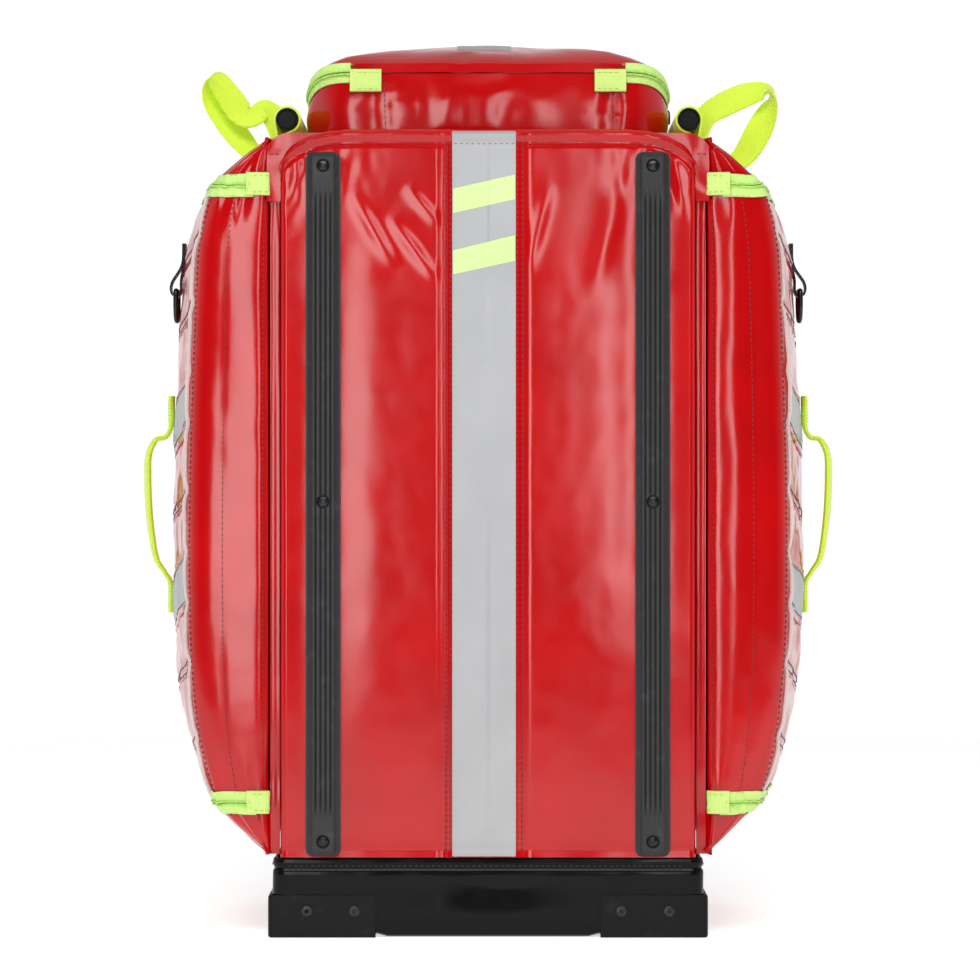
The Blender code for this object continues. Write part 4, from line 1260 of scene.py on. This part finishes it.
def wall_skin(foot, top, share, lift=0.0):
    """A point of the pocket's bulging, creased wall, between its foot and its upper edge."""
    z = foot.z + (top.z - foot.z) * share
    out = Vector((foot.x, foot.y - (POCKET_FRONT + POCKET_BACK) / 2, 0)).normalized()
    swell = math.sin(math.pi * share)
    relief = 0.0022 * swell + 0.0022 * swell * ripple(foot.x, foot.y, z * 0.5, 0.022, 4.0) - 0.0008
    if foot.y < POCKET_FRONT + 0.02:
        for seam in WALL_SEAMS:
            relief -= 0.0018 * bell(foot.x - seam, 0.003)
            relief += 0.0016 * swell * bell(foot.x - seam, 0.016) * ripple(foot.x * 0.4, 0.0, z, 0.008)
    return Vector((foot.x, foot.y, z)) + out * (relief + lift)


def top_pocket():
    """The pocket's soft wall, with vertical seams, slumping a little on its deck."""
    low = WALL_LOW.z
    feet, tops = pocket_ring(0.0, z=low), wall_top(0.0)
    rows = [[wall_skin(foot, top, share) for foot, top in zip(feet, tops)] for share in spread(0, 1, 22)]
    inner = [wall_top(0.0045), pocket_ring(0.0045, z=low)]
    wall = Piece()
    wall.grid(rows + inner + [rows[0]], wrap=True)
    wall.make("top_wall", "red", "pack", ("top_pocket_wall",))
    thread = Piece()
    for seam in WALL_SEAMS:
        foot, top = (Vector((seam + 0.003, POCKET_FRONT, z)) for z in (low, ZIP_LINE))
        line = [wall_skin(foot, top, share, 0.0002) for share in spread(0.06, 0.94, 24)]
        thread.stitches(line, FORWARD)
    thread.make("top_wall_stitching", "thread", "pack")


# The lid's height at distances in from its edge
LID_DOME = (
    (0.002, 0.6985), (0.004, 0.7008), (0.008, 0.7040), (0.018, 0.7098), (0.029, 0.7140),
    (0.045, 0.7188), (0.060, 0.7226), (0.078, 0.7262), (0.0999, 0.7300),
)


def lid():
    """The domed lid's shell, with its front tuck."""
    thickness, hollow_y = 0.0036, -0.012
    levels = [(0.0, 0.0065, None), (0.0004, 0.0085, None)]
    levels += [(inset, None, z) for inset, z in LID_DOME]
    rows = []
    for number, (inset, rise, z) in enumerate(levels):
        ring = []
        for point in pocket_ring(inset, rise=rise, z=z):
            fold = (0.0018 * ripple(point.x, point.y, 0.2, 0.05, 9.0)
                    + 0.0007 * ripple(point.x, point.y, 0.5, 0.016, 2.0))
            if point.y < POCKET_FRONT + 0.03:
                fold -= 0.0030 * bell(point.x + 0.022, 0.006)
            fold *= min(number / 3, 1.0)
            ring.append(point + Vector((0, 0, fold - 0.0006)))
        rows.append(ring)
    front_edge = []
    for point in rows[0]:
        on_hinge = abs(point.x) < HINGE_HALF and point.y < POCKET_FRONT + 0.002
        front_edge.append(Vector((point.x, point.y, ZIP_LINE + 0.0006 if on_hinge else point.z)))
    rows[0] = front_edge
    shell = Piece()
    under = []
    for row in rows[1:]:
        dropped = [point - Vector((0, 0, thickness)) for point in row]
        under.append([point + (Vector((0, hollow_y, point.z)) - point).normalized() * thickness
                      for point in dropped])
    start = shell.grid(rows, wrap=True)
    count = len(rows[0])
    shell.cap(start + (len(rows) - 1) * count, count)
    second = shell.grid(under, wrap=True, flip=True)
    shell.cap(second + (len(under) - 1) * count, count, flip=True)
    for column in range(count):
        after = (column + 1) % count
        shell.faces.append((start + after, start + column, second + column, second + after))
    return shell.make("lid_shell", "red", "lid", ("top_lid",), smooth=50)


def lid_surface(x, y):
    """Height of the lid's crown over a point, close to the modelled dome."""
    inset = min(POCKET_HALF - abs(x), y - POCKET_FRONT, POCKET_BACK - y)
    return curve_value(LID_DOME, min(max(inset, 0.002), 0.0999))


def lid_trim(shell):
    """The lid's zipper and slider, the tabs over its ends, and the silver tape."""
    for body, sign, front_x in (("lid", 1, LID_ZIP_HALF), ("pack", -1, HINGE_HALF)):
        ring = [point for point in pocket_ring(0.0, rise=sign * 0.0044)
                if not (abs(point.x) < front_x and point.y < POCKET_FRONT + 0.001)]
        start = max(range(len(ring)), key=lambda k: (ring[k] - ring[k - 1]).length)
        ring = ring[start:] + ring[:start]
        centre = Vector((0, (POCKET_FRONT + POCKET_BACK) / 2, 0))
        outs = []
        for k, point in enumerate(ring):
            ahead = ring[min(k + 1, len(ring) - 1)] - ring[max(k - 1, 0)]
            outs.append(Vector((ahead.y, -ahead.x, 0)).normalized())
        outs = [out if out.dot(point - centre) > 0 else -out for out, point in zip(outs, ring)]
        tape = Piece()
        path = [point + out * 0.0004 for point, out in zip(ring, outs)]
        frames = (np.array([UP] * len(ring)), -np.array(outs))
        tape.sweep(path, strap_outline(0.0076, 0.0012, 4), frames=frames)
        tape.make(f"lid_tape_{body}", "tape", body, ("lid_zipper",) if body == "lid" else ())
        coil = Piece()
        drop = Vector((0, 0, -sign * 0.0031))
        coil.coil([point + out * 0.0016 + drop for point, out in zip(ring, outs)], 0.0006, 0.0012)
        coil.make(f"lid_coil_{body}", "coil", body, smooth=60)
    for suffix, side in SIDES:
        centre = [(side * x, POCKET_FRONT - 0.0038, ZIP_LINE - 0.0065) for x in spread(0.0865, 0.112, 8)]
        strap(f"lid_tab_{suffix}", "tab", "pack", centre, UP, TAB_SIZE)
        thread = Piece()
        for z in (-0.013, 0.0):
            line = [Vector((side * x, POCKET_FRONT - 0.0048, ZIP_LINE + z))
                    for x in spread(0.088, 0.1105, 10)]
            thread.stitches(line, FORWARD, radius=0.0003)
        thread.make(f"lid_tab_stitching_{suffix}", "pale_thread", "pack")
    tape = Piece()
    width = 0.0225
    rows = []
    for y in spread(POCKET_FRONT + 0.064, POCKET_BACK - 0.010, 60):
        xs = [STRIP_CENTRE + x for x in spread(-width, width, 14)]
        rows.append(laid(shell, [(x, y, lid_surface(x, y)) for x in xs], (0, 0, -1), 0.0006))
    tape.sheet(rows, 0.0006)
    tape.make("lid_silver", "silver", "lid")
    slider = Piece()
    low, high = (Vector(corner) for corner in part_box("lid_slider"))
    middle = (low + high) / 2
    path = [Vector((middle.x, y, middle.z)) for y in spread(low.y, high.y, 9)]
    slider.sweep(path, strap_outline(0.0100, 0.0042, 4), flat_frames(path, UP), scale=SLIDER_SCALE)
    slider.make("lid_slider_body", "nickel", "lid_slider", ("lid_slider",))
    hang = curve_through([(middle.x + 0.0024, middle.y - 0.004, middle.z),
                          (middle.x + 0.0046, middle.y - 0.012, middle.z - 0.003),
                          (middle.x + 0.0040, middle.y - 0.030, middle.z - 0.008)], 6)
    strap("lid_slider_pull", "strap", "lid_slider", hang, UP, (0.0085, 0.0018))


def deck():
    """The sheet under the top pocket, rolled down to the pockets' roofs, and the shoulders' gussets."""
    edge, drop, level = 0.1735, 0.006, 0.160
    top = Piece()
    rows = []
    for y in spread(DECK_LOW.y, DECK_HIGH.y, 60):
        row = []
        for x in spread(-edge, edge, 90):
            over = max(abs(x) - level, 0.0) / (edge - level)
            z = DECK_HIGH.z - 0.0008 - drop * over * over + 0.0006 * ripple(x, y, 0.4, 0.03)
            row.append(Vector((x, y, z)))
        rows.append(row)
    top.sheet(rows, 0.003)
    top.make("deck_sheet", "red", "pack", ("top_deck",))
    for suffix, side in SIDES:
        gusset, thread = Piece(), Piece()
        rows = []
        for x in spread(0.128, 0.1775, 16):
            upper = DECK_HIGH.z - 0.0010 - 0.0062 * (max(x - level, 0.0) / 0.0135) ** 2
            rows.append([Vector((side * x, -0.1551 + 0.0012 * ripple(x, z, side, 0.02) * (x > level), z))
                         for z in spread(upper, 0.590, 14)])
        gusset.sheet(rows, 0.0007, flip=side < 0)
        gusset.make("shoulder_gusset_" + suffix, "red", "pack")
        line = [Vector((side * x, -0.1562, 0.628)) for x in spread(0.167, 0.1765, 6)]
        thread.stitches(line, FORWARD)
        thread.make("gusset_stitching_" + suffix, "thread", "pack")


# ---------------------------------------------------------------- harness

STRAP_ROUTE = (
    (0.050, 0.108, 0.604), (0.051, 0.128, 0.6035), (0.0535, 0.1455, 0.588), (0.060, 0.155, 0.540),
    (0.072, 0.156, 0.450), (0.084, 0.149, 0.360), (0.098, 0.133, 0.246),
)
STRAP_WIDTHS = ((0.0, 0.054), (0.25, 0.058), (0.45, 0.058), (0.75, 0.052), (1.0, 0.040))
STRAP_THICKNESS = 0.0095
HIP_WIDTHS = ((0.0, 0.100), (0.35, 0.094), (0.75, 0.074), (1.0, 0.044))


def pillow_outline(half, edge, steps=28):
    """A flat rounded section: a superellipse."""
    points = []
    for turn in round_turns(steps):
        c, s = math.cos(turn), math.sin(turn)
        points.append((math.copysign(abs(c) ** 0.55, c) * half, math.copysign(abs(s) ** 0.75, s) * edge))
    return points


def pad_along(piece, path, across, widths, thickness):
    """A closed pad of changing width along a path."""
    side, up = flat_frames(path, across)
    path = np.asarray(path, float)
    rows = []
    for index, point in enumerate(path):
        share = index / (len(path) - 1)
        end = min(share, 1 - share) * (len(path) - 1) / 3
        round_off = 0.55 + 0.45 * min(end, 1.0)
        half = curve_value(widths, share) / 2 * round_off
        rows.append([point + side[index] * a + up[index] * b
                     for a, b in pillow_outline(half, thickness / 2 * round_off)])
    piece.loft(rows)


def stuffed(made, cap, voxel):
    """Swells a closed form as stuffed fabric: a short cloth simulation, capped, then smoothed."""
    remesh = made.modifiers.new("Remesh", "REMESH")
    remesh.mode = "VOXEL"
    remesh.voxel_size = voxel
    settled(made)
    start = read_points(made)
    cloth = made.modifiers.new("Cloth", "CLOTH")
    cloth.settings.use_pressure = True
    cloth.settings.uniform_pressure_force = 4.0
    cloth.settings.effector_weights.gravity = 0
    cloth.settings.quality = 4
    for number in range(1, 21):
        bpy.context.scene.frame_set(number)
    settled(made)
    bpy.context.scene.frame_set(1)
    moved = read_points(made) - start
    length = np.maximum(np.linalg.norm(moved, axis=1, keepdims=True), 1e-9)
    write_points(made, start + moved * np.minimum(cap / length, 1.0))
    smooth = made.modifiers.new("Smooth", "SUBSURF")
    smooth.levels = smooth.render_levels = 1
    settled(made)


def read_points(made):
    points = np.empty(len(made.data.vertices) * 3)
    made.data.vertices.foreach_get("co", points)
    return points.reshape(-1, 3)


def write_points(made, points):
    made.data.vertices.foreach_set("co", np.asarray(points, float).reshape(-1))
    made.data.update()


def sewn(made, lines, depth, width, facing):
    """Presses sewn channels into a pad. Each line gives a point's distance from it."""
    points = read_points(made)
    facing = np.asarray(facing, float)
    middle = points.mean(axis=0)
    height = (points - middle) @ facing
    shown = np.clip(height / max(height.max(), 1e-6), 0, 1)
    pressed = np.zeros(len(points))
    for line in lines:
        away = np.array([line(*point) for point in points])
        pressed = np.maximum(pressed, np.exp(-(away / width) ** 2))
    write_points(made, points - facing * (pressed * depth * shown)[:, None])


def unfold(made):
    """Texture coordinates in metres for a pad, seen from behind it."""
    mesh = made.data
    points = read_points(made)
    corners = np.empty(len(mesh.loops), int)
    mesh.loops.foreach_get("vertex_index", corners)
    layer = mesh.uv_layers.new(name="UVMap") if not mesh.uv_layers else mesh.uv_layers[0]
    places = np.stack([points[:, 0] + 0.6 * points[:, 1], points[:, 2] + 0.3 * points[:, 1]], axis=1)
    layer.data.foreach_set("uv", places[corners].reshape(-1))
    mesh.shade_smooth()


def finish_pad(made, body, node):
    """Hooks a stuffed pad to its body and its CAD node."""
    unfold(made)
    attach(made, body)
    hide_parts(node)


def laid(made, points, towards, lift):
    """The given points, moved along a direction on to a piece's surface and lifted off it."""
    tree = BVHTree.FromObject(made, bpy.context.evaluated_depsgraph_get())
    towards = Vector(towards).normalized()
    placed = []
    for point in points:
        point = Vector(point)
        hit = tree.ray_cast(point - towards * 0.1, towards, 0.2)[0]
        placed.append((hit if hit is not None else point) - towards * lift)
    return placed


def shoulder_strap(suffix, side):
    """Padded strap with an edge binding, a webbing spine, ladder lock and quick release."""
    body = "strap_" + suffix
    route = curve_through([(side * x, y, z) for x, y, z in STRAP_ROUTE], 8)
    pad = Piece()
    pad_along(pad, route, (1, 0, 0), STRAP_WIDTHS, STRAP_THICKNESS)
    made = pad.make("shoulder_pad_" + suffix, "mesh", body, ride=False)
    stuffed(made, 0.0016, 0.0042)
    finish_pad(made, body, "shoulder_strap_" + suffix)

    for edge in (-1, 1):
        line = []
        for index, point in enumerate(route[3:-1]):
            share = (index + 3) / (len(route) - 1)
            half = curve_value(STRAP_WIDTHS, share) / 2 + 0.0004
            line.append(point + Vector((edge * half, 0, 0)))
        binding = Piece()
        binding.tube(line, 0.0021)
        title = "inner" if edge * side < 0 else "outer"
        binding.make(f"shoulder_binding_{title}_{suffix}", "cloth", body)
    line = laid(made, [point + Vector((0, 0.02, 0)) for point in route[18:-1]], FORWARD, 0.0011)
    strap("shoulder_webbing_" + suffix, "strap", body, line, (-1, 0, 0), (0.025, 0.0018))
    thread = Piece()
    for offset in (-0.0100, 0.0100):
        thread.stitches([point + Vector((offset, 0.0011, 0)) for point in line], BACKWARD)
    thread.make("shoulder_stitching_" + suffix, "dark_thread", body)

    top = curve_through([(side * 0.050, 0.1010, 0.640), (side * 0.050, 0.1022, 0.622),
                         (side * 0.050, 0.1035, 0.612)], 6)
    strap("shoulder_anchor_" + suffix, "strap", "pack", top, (-1, 0, 0), (0.052, 0.0028))

    end = Vector((side * 0.0985, 0.1325, 0.2400))
    lock = end + Vector((side * 0.004, -0.002, -0.014))
    ladder_lock("ladder_lock_" + suffix, body, lock)
    tail = curve_through([end + Vector((0, 0, 0.012)), lock, (side * 0.116, 0.1225, 0.208),
                          (side * 0.132, 0.1150, 0.182), (side * 0.1445, 0.1105, 0.160)], 6)
    strap("lower_webbing_" + suffix, "strap", body, tail, (-1, 0, -0.35), (0.020, 0.0016))
    turn = Vector((side * 0.35, 0, -1)).normalized()
    plug, socket = Vector((side * 0.1455, 0.1095, 0.1565)), Vector((side * 0.1560, 0.1065, 0.1265))
    buckle("lower_plug_" + suffix, body, plug, turn, 0.011, 0.0032, False)
    buckle("lower_socket_" + suffix, "pack", socket, -turn, 0.012, 0.0036, True)
    stub = curve_through([(side * 0.1585, 0.1055, 0.119), (side * 0.1605, 0.1030, 0.098),
                          (side * 0.1605, 0.1018, 0.078)], 6)
    strap("lower_anchor_" + suffix, "strap", "pack", stub, (-1, 0, 0), (0.020, 0.0016))


def ladder_lock(name, body, centre):
    """Webbing adjuster: a frame with two bars across it."""
    lock = Piece()
    half, drop, wire, corner = 0.0135, 0.0105, 0.0019, 0.003
    path = []
    for sx, sz, begin in ((1, -1, -90), (1, 1, 0), (-1, 1, 90), (-1, -1, 180)):
        for k in range(5):
            turn = math.radians(begin + 90 * k / 4)
            path.append(centre + Vector((sx * (half - corner) + corner * math.cos(turn), 0,
                                         sz * (drop - corner) + corner * math.sin(turn))))
    lock.tube(path, wire, 10, closed=True)
    for z in (0.0045, -0.0040):
        lock.tube([centre + Vector((x, 0.0010, z)) for x in spread(-half, half, 9)], 0.0016, 10)
    lock.make(name, "plastic", body)


def buckle(name, body, start, ahead, half, depth, socket, node=None, reach=0.022):
    """One half of a side-release buckle, from its webbing bar at start towards its mouth."""
    ahead, out = Vector(ahead).normalized(), BACKWARD
    across = ahead.cross(out).normalized()

    def section(at, wide, deep):
        ring = []
        for turn in round_turns(32):
            c, s = math.cos(turn), math.sin(turn)
            ring.append(start + ahead * at + across * (math.copysign(abs(c) ** 0.45, c) * wide)
                        + out * (math.copysign(abs(s) ** 0.45, s) * deep))
        return ring

    shape = Piece()
    if socket:
        stations = [(0.0, 0.86, 0.50), (0.04, 0.94, 0.66), (0.12, 0.97, 0.80), (0.20, 0.95, 0.84)]
        stations += [(0.30, 0.90, 0.92), (0.36, 0.80, 0.95), (0.52, 0.76, 0.97), (0.68, 0.80, 0.97)]
        stations += [(0.76, 0.94, 0.96), (0.86, 1.0, 0.98), (0.97, 1.0, 1.0), (1.0, 0.97, 0.92)]
        stations += [(1.0, 0.82, 0.62), (0.80, 0.78, 0.56)]
    else:
        stations = [(0.0, 0.86, 0.50), (0.05, 0.95, 0.72), (0.14, 1.0, 0.90), (0.30, 1.0, 0.95)]
        stations += [(0.36, 0.99, 0.78), (0.44, 0.95, 0.72), (0.47, 0.80, 0.48), (0.50, 0.74, 0.42)]
    shape.loft([section(at * reach, wide * half, deep * depth) for at, wide, deep in stations])
    if not socket:
        for edge in (-1, 1):
            prong = [start + ahead * (reach * at) + across * (edge * half * off) for at, off in (
                (0.42, 0.62), (0.60, 0.66), (0.76, 0.74), (0.88, 0.70), (0.96, 0.54))]
            prong = curve_through(prong, 5)
            shape.sweep(prong, pillow_outline(half * 0.17, depth * 0.5, 16), flat_frames(prong, across))
        tongue = [start + ahead * (reach * at) for at in spread(0.42, 0.90, 8)]
        shape.sweep(tongue, pillow_outline(half * 0.14, depth * 0.4, 16), flat_frames(tongue, across))
    for at in (0.06, 0.16):
        rib = [start + ahead * (reach * at) + across * (half * share) + out * (depth * 0.84)
               for share in spread(-0.72, 0.72, 9)]
        shape.tube(rib, 0.0007, scale=[0.4] + [1.0] * 7 + [0.4])
    shape.make(name, "plastic", body, (node,) if node else ())


def chest_strap():
    """Sternum webbing on both straps and the closed buckle between them."""
    for suffix, side in SIDES:
        body = "strap_" + suffix
        path = curve_through([(side * x, y, 0.450) for x, y in (
            (0.0150, 0.1625), (0.030, 0.1640), (0.070, 0.1642), (0.090, 0.1638))], 6)
        strap("sternum_webbing_" + suffix, "strap", body, path, (0, 0, side), (0.020, 0.0014),
              ("sternum_strap_" + suffix,))
        keeper = Piece()
        ring = [(side * 0.066 + x, 0.1641 + y, 0.450 + z) for x, y, z in (
            (0, 0.0016, -0.0115), (0, 0.0016, 0.0115), (0, -0.0012, 0.0120), (0, -0.0012, -0.0120))]
        keeper.tube(ring, 0.0012, closed=True)
        keeper.make("sternum_keeper_" + suffix, "plastic", body)
    buckle("sternum_socket", "strap_left", Vector((-0.0180, 0.160, 0.450)), (1, 0, 0), 0.0130, 0.0040,
           True, "sternum_buckle_socket", 0.0215)
    buckle("sternum_plug", "strap_right", Vector((0.0180, 0.160, 0.450)), (-1, 0, 0), 0.0125, 0.0037,
           False, "sternum_buckle_plug", 0.0290)


def back_and_lumbar():
    """The two pads against the wearer, with their sewn air channels."""
    for title, node, cap, fill in (("back_padding", "back_pad", 0.003, 0.7),
                                   ("lumbar_padding", "lumbar_pad", 0.004, 0.85)):
        low, high = (Vector(corner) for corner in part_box(node))
        half_x, half_z = (high.x - low.x) / 2 - 0.003, (high.z - low.z) / 2 - 0.003
        middle_z = (low.z + high.z) / 2
        pad = Piece()
        rows = []
        depth = high.y - low.y
        for share, shrink in ((0.06, 0.95), (0.12, 0.985), (0.40, 1.0), (0.62, 0.985), (0.78, 0.95),
                              (0.82, 0.90)):
            y = low.y + depth * share
            ring = plan_ring(half_x * shrink, -half_z * shrink, half_z * shrink, 0.026, 0, 8, 12)
            rows.append([(x, y, middle_z + z) for x, z, _ in ring])
        pad.loft(rows, flip=True)
        made = pad.make(title, "mesh", "pack", ride=False)
        stuffed(made, cap, 0.005)
        channels = [lambda x, y, z: abs(x)]
        if title == "back_padding":
            for height in (0.288, 0.387, 0.486):
                channels.append(lambda x, y, z, height=height: abs(z - height - 0.10 * abs(x)))
        else:
            channels.append(lambda x, y, z: abs(abs(x) - 0.060))
        sewn(made, channels, 0.007, 0.0062, BACKWARD)
        finish_pad(made, "pack", node)
        binding = Piece()
        ring = plan_ring(half_x + 0.0005, -half_z - 0.0005, half_z + 0.0005, 0.026, 0, 8, 12)
        binding.tube([(x, low.y + 0.0024, middle_z + z) for x, z, _ in ring], 0.0024, closed=True)
        binding.make(title + "_binding", "cloth", "pack")


def hip_wing(suffix, side):
    """Padded wing with its webbing and half of the hip buckle."""
    body = "wing_" + suffix
    path = [Vector((side * x, 0.1335, 0.120)) for x in spread(0.1225, 0.0165, 30)]
    pad = Piece()
    pad_along(pad, path, (0, 0, 1), HIP_WIDTHS, 0.0095)
    made = pad.make("hip_pad_" + suffix, "cloth", body, ride=False)
    stuffed(made, 0.0014, 0.004)
    sewn(made, [lambda x, y, z: abs(abs(z - 0.120) - 0.026)], 0.0022, 0.003, BACKWARD)
    finish_pad(made, body, "hip_wing_" + suffix)
    line = laid(made, [(side * x, 0.16, 0.121) for x in spread(0.119, 0.074, 14)], FORWARD, 0.0012)
    line += [Vector((side * 0.070, 0.1440, 0.121)), Vector((side * 0.064, 0.1452, 0.121))]
    strap("hip_webbing_" + suffix, "strap", body, line, (0, 0, side), (0.0300, 0.0018))
    thread = Piece()
    for z in (-0.0115, 0.0115):
        thread.stitches([point + Vector((0, 0.0010, z)) for point in line[:8]], BACKWARD)
    thread.make("hip_stitching_" + suffix, "dark_thread", body)
    socket = suffix == "left"
    kind = "socket" if socket else "plug"
    buckle("hip_" + kind, body, Vector((side * 0.0775, 0.1454, 0.121)), (-side, 0, 0), 0.0178, 0.0044,
           socket, "hip_buckle_" + kind, 0.0430)


def back_sheet():
    """The padded-looking back panel, bound in red at its edge."""
    low, high = (Vector(corner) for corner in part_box("back_panel"))
    half, quilt_pitch = high.x, 0.0575
    rows = []
    for z in spread(low.z, high.z, 150):
        row = []
        for x in spread(-half, half, 84):
            room = min(half - abs(x), high.z - z, z - low.z)
            sink = 0.0030 * (1 - min(room / 0.010, 1.0)) ** 2
            quilt = 0.0010 * math.cos(math.pi * x / quilt_pitch) * math.cos(math.pi * z / quilt_pitch)
            puff = (quilt + 0.0006 * ripple(x, z, 3.0, 0.04)) * min(room / 0.02, 1.0)
            row.append((x, high.y - 0.0012 - sink + puff, z))
        rows.append(row)
    panel = Piece()
    panel.sheet(rows, 0.0036, flip=True)
    panel.make("back_cloth", "cloth", "pack", ("back_panel",))
    binding = Piece()
    ring = plan_ring(half - 0.0005, TRAY_HIGH.z + 0.003, high.z - 0.001, 0.020, 0, 8, 20)
    binding.tube([(x, high.y - 0.0026, z) for x, z, _ in ring], 0.0028, closed=True)
    binding.make("back_binding", "red", "pack")


# ---------------------------------------------------------------- studio

def studio():
    """White floor, a room that is dim behind the camera, three soft boxes, and the camera."""
    scene = bpy.context.scene
    mesh = bpy.data.meshes.new("studio_floor")
    radius, sides = 2.3, 96
    ring = [(radius * math.cos(turn), radius * math.sin(turn), 0) for turn in round_turns(sides)]
    mesh.from_pydata(ring, [], [tuple(range(sides))])
    floor = bpy.data.objects.new("studio_floor", mesh)
    bpy.context.collection.objects.link(floor)
    paper = Look("studio_paper", (0.90, 0.90, 0.90), 0.75, "lining", coords="Object",
                 Specular_IOR_Level=0.1, Emission_Color=(1, 1, 1, 1), Emission_Strength=0.62)
    paper.bump(paper.cloud(0.006, 4.0), 0.0002, 0.2)
    paper.vary_color(paper.cloud(0.9, 2.0), 0.985, 1.0)
    mesh.materials.append(paper.material)

    world = bpy.data.worlds.new("studio_world")
    scene.world = world
    world.use_nodes = True
    tree = world.node_tree
    shown = tree.nodes["Background"]
    place = tree.nodes.new("ShaderNodeTexCoord")
    split = tree.nodes.new("ShaderNodeSeparateXYZ")
    tree.links.new(place.outputs["Generated"], split.inputs[0])
    fades = []
    for axis, lowest, stops in (("Y", -1.0, ((0.12, 0.09), (0.55, 1.0))),
                                ("Z", 0.0, ((0.16, 1.0), (0.50, 0.32)))):
        reach = tree.nodes.new("ShaderNodeMapRange")
        reach.inputs["From Min"].default_value = lowest
        ramp = tree.nodes.new("ShaderNodeValToRGB")
        for stop, (position, value) in zip(ramp.color_ramp.elements, stops):
            stop.position, stop.color = position, (value, value, value, 1)
        tree.links.new(split.outputs[axis], reach.inputs["Value"])
        tree.links.new(reach.outputs["Result"], ramp.inputs["Fac"])
        fades.append(ramp.outputs["Color"])
    both = tree.nodes.new("ShaderNodeVectorMath")
    both.operation = "MULTIPLY"
    tree.links.new(fades[0], both.inputs[0])
    tree.links.new(fades[1], both.inputs[1])
    # Seen straight, the room is white all round; its dim side only shows in what is lit or mirrored
    seen = tree.nodes.new("ShaderNodeVectorMath")
    seen.operation = "MAXIMUM"
    tree.links.new(both.outputs[0], seen.inputs[0])
    tree.links.new(tree.nodes.new("ShaderNodeLightPath").outputs["Is Camera Ray"], seen.inputs[1])
    tree.links.new(seen.outputs[0], shown.inputs["Color"])
    shown.inputs["Strength"].default_value = 1.05
    scene.view_settings.view_transform = "Standard"

    for name, place, target, size, power in (
        ("softbox_left", (-0.57, -3.0, 0.67), (-0.57, 0.0, 0.67), (0.56, 1.26), 12.0),
        ("softbox_right", (0.365, -3.0, 0.72), (0.365, 0.0, 0.72), (0.25, 1.16), 5.0),
        ("softbox_top", (0.0, -1.6, 2.2), (0.0, 0.0, 0.35), (2.0, 1.2), 42),
    ):
        light = bpy.data.lights.new(name, "AREA")
        light.shape = "RECTANGLE"
        light.size, light.size_y = size
        light.energy = power
        lamp = bpy.data.objects.new(name, light)
        lamp.location = place
        lamp.rotation_euler = (Vector(target) - Vector(place)).to_track_quat("-Z", "Y").to_euler()
        bpy.context.collection.objects.link(lamp)

    camera = bpy.data.cameras.new("camera")
    camera.lens, camera.sensor_width = 137.8, 36
    eye = bpy.data.objects.new("camera", camera)
    eye.location = (0.0016, -3.165, 0.3584)
    eye.rotation_euler = (math.pi / 2, 0, 0)
    bpy.context.collection.objects.link(eye)
    scene.camera = eye


for suffix, side in SIDES:
    side_pocket(suffix, side)
    door_slider(suffix, side)
    side_handle(suffix, side)
    haul_loop(suffix, side)
    ring_and_tab(suffix, side)
    shoulder_grip(suffix, side)
    skid_rail(suffix)
    shoulder_strap(suffix, side)
    hip_wing(suffix, side)
    for kind, numbers, dome in (("rail", (1, 2, 3), True), ("guard", (1, 2), False)):
        for number in numbers:
            socket_screw(f"{kind}_screw_head_{suffix}_{number}", f"{kind}_screw_{suffix}_{number}", dome)
    corner_guard("front_" + suffix, side, True)
    corner_guard("rear_" + suffix, side, False)
front_panel()
base()
deck()
top_pocket()
lid_trim(lid())
back_sheet()
back_and_lumbar()
chest_strap()
for name in ("frame_sheet", "divider_left", "divider_right"):
    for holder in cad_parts[name].material_slots:
        holder.material = LOOKS["lining"].material
studio()
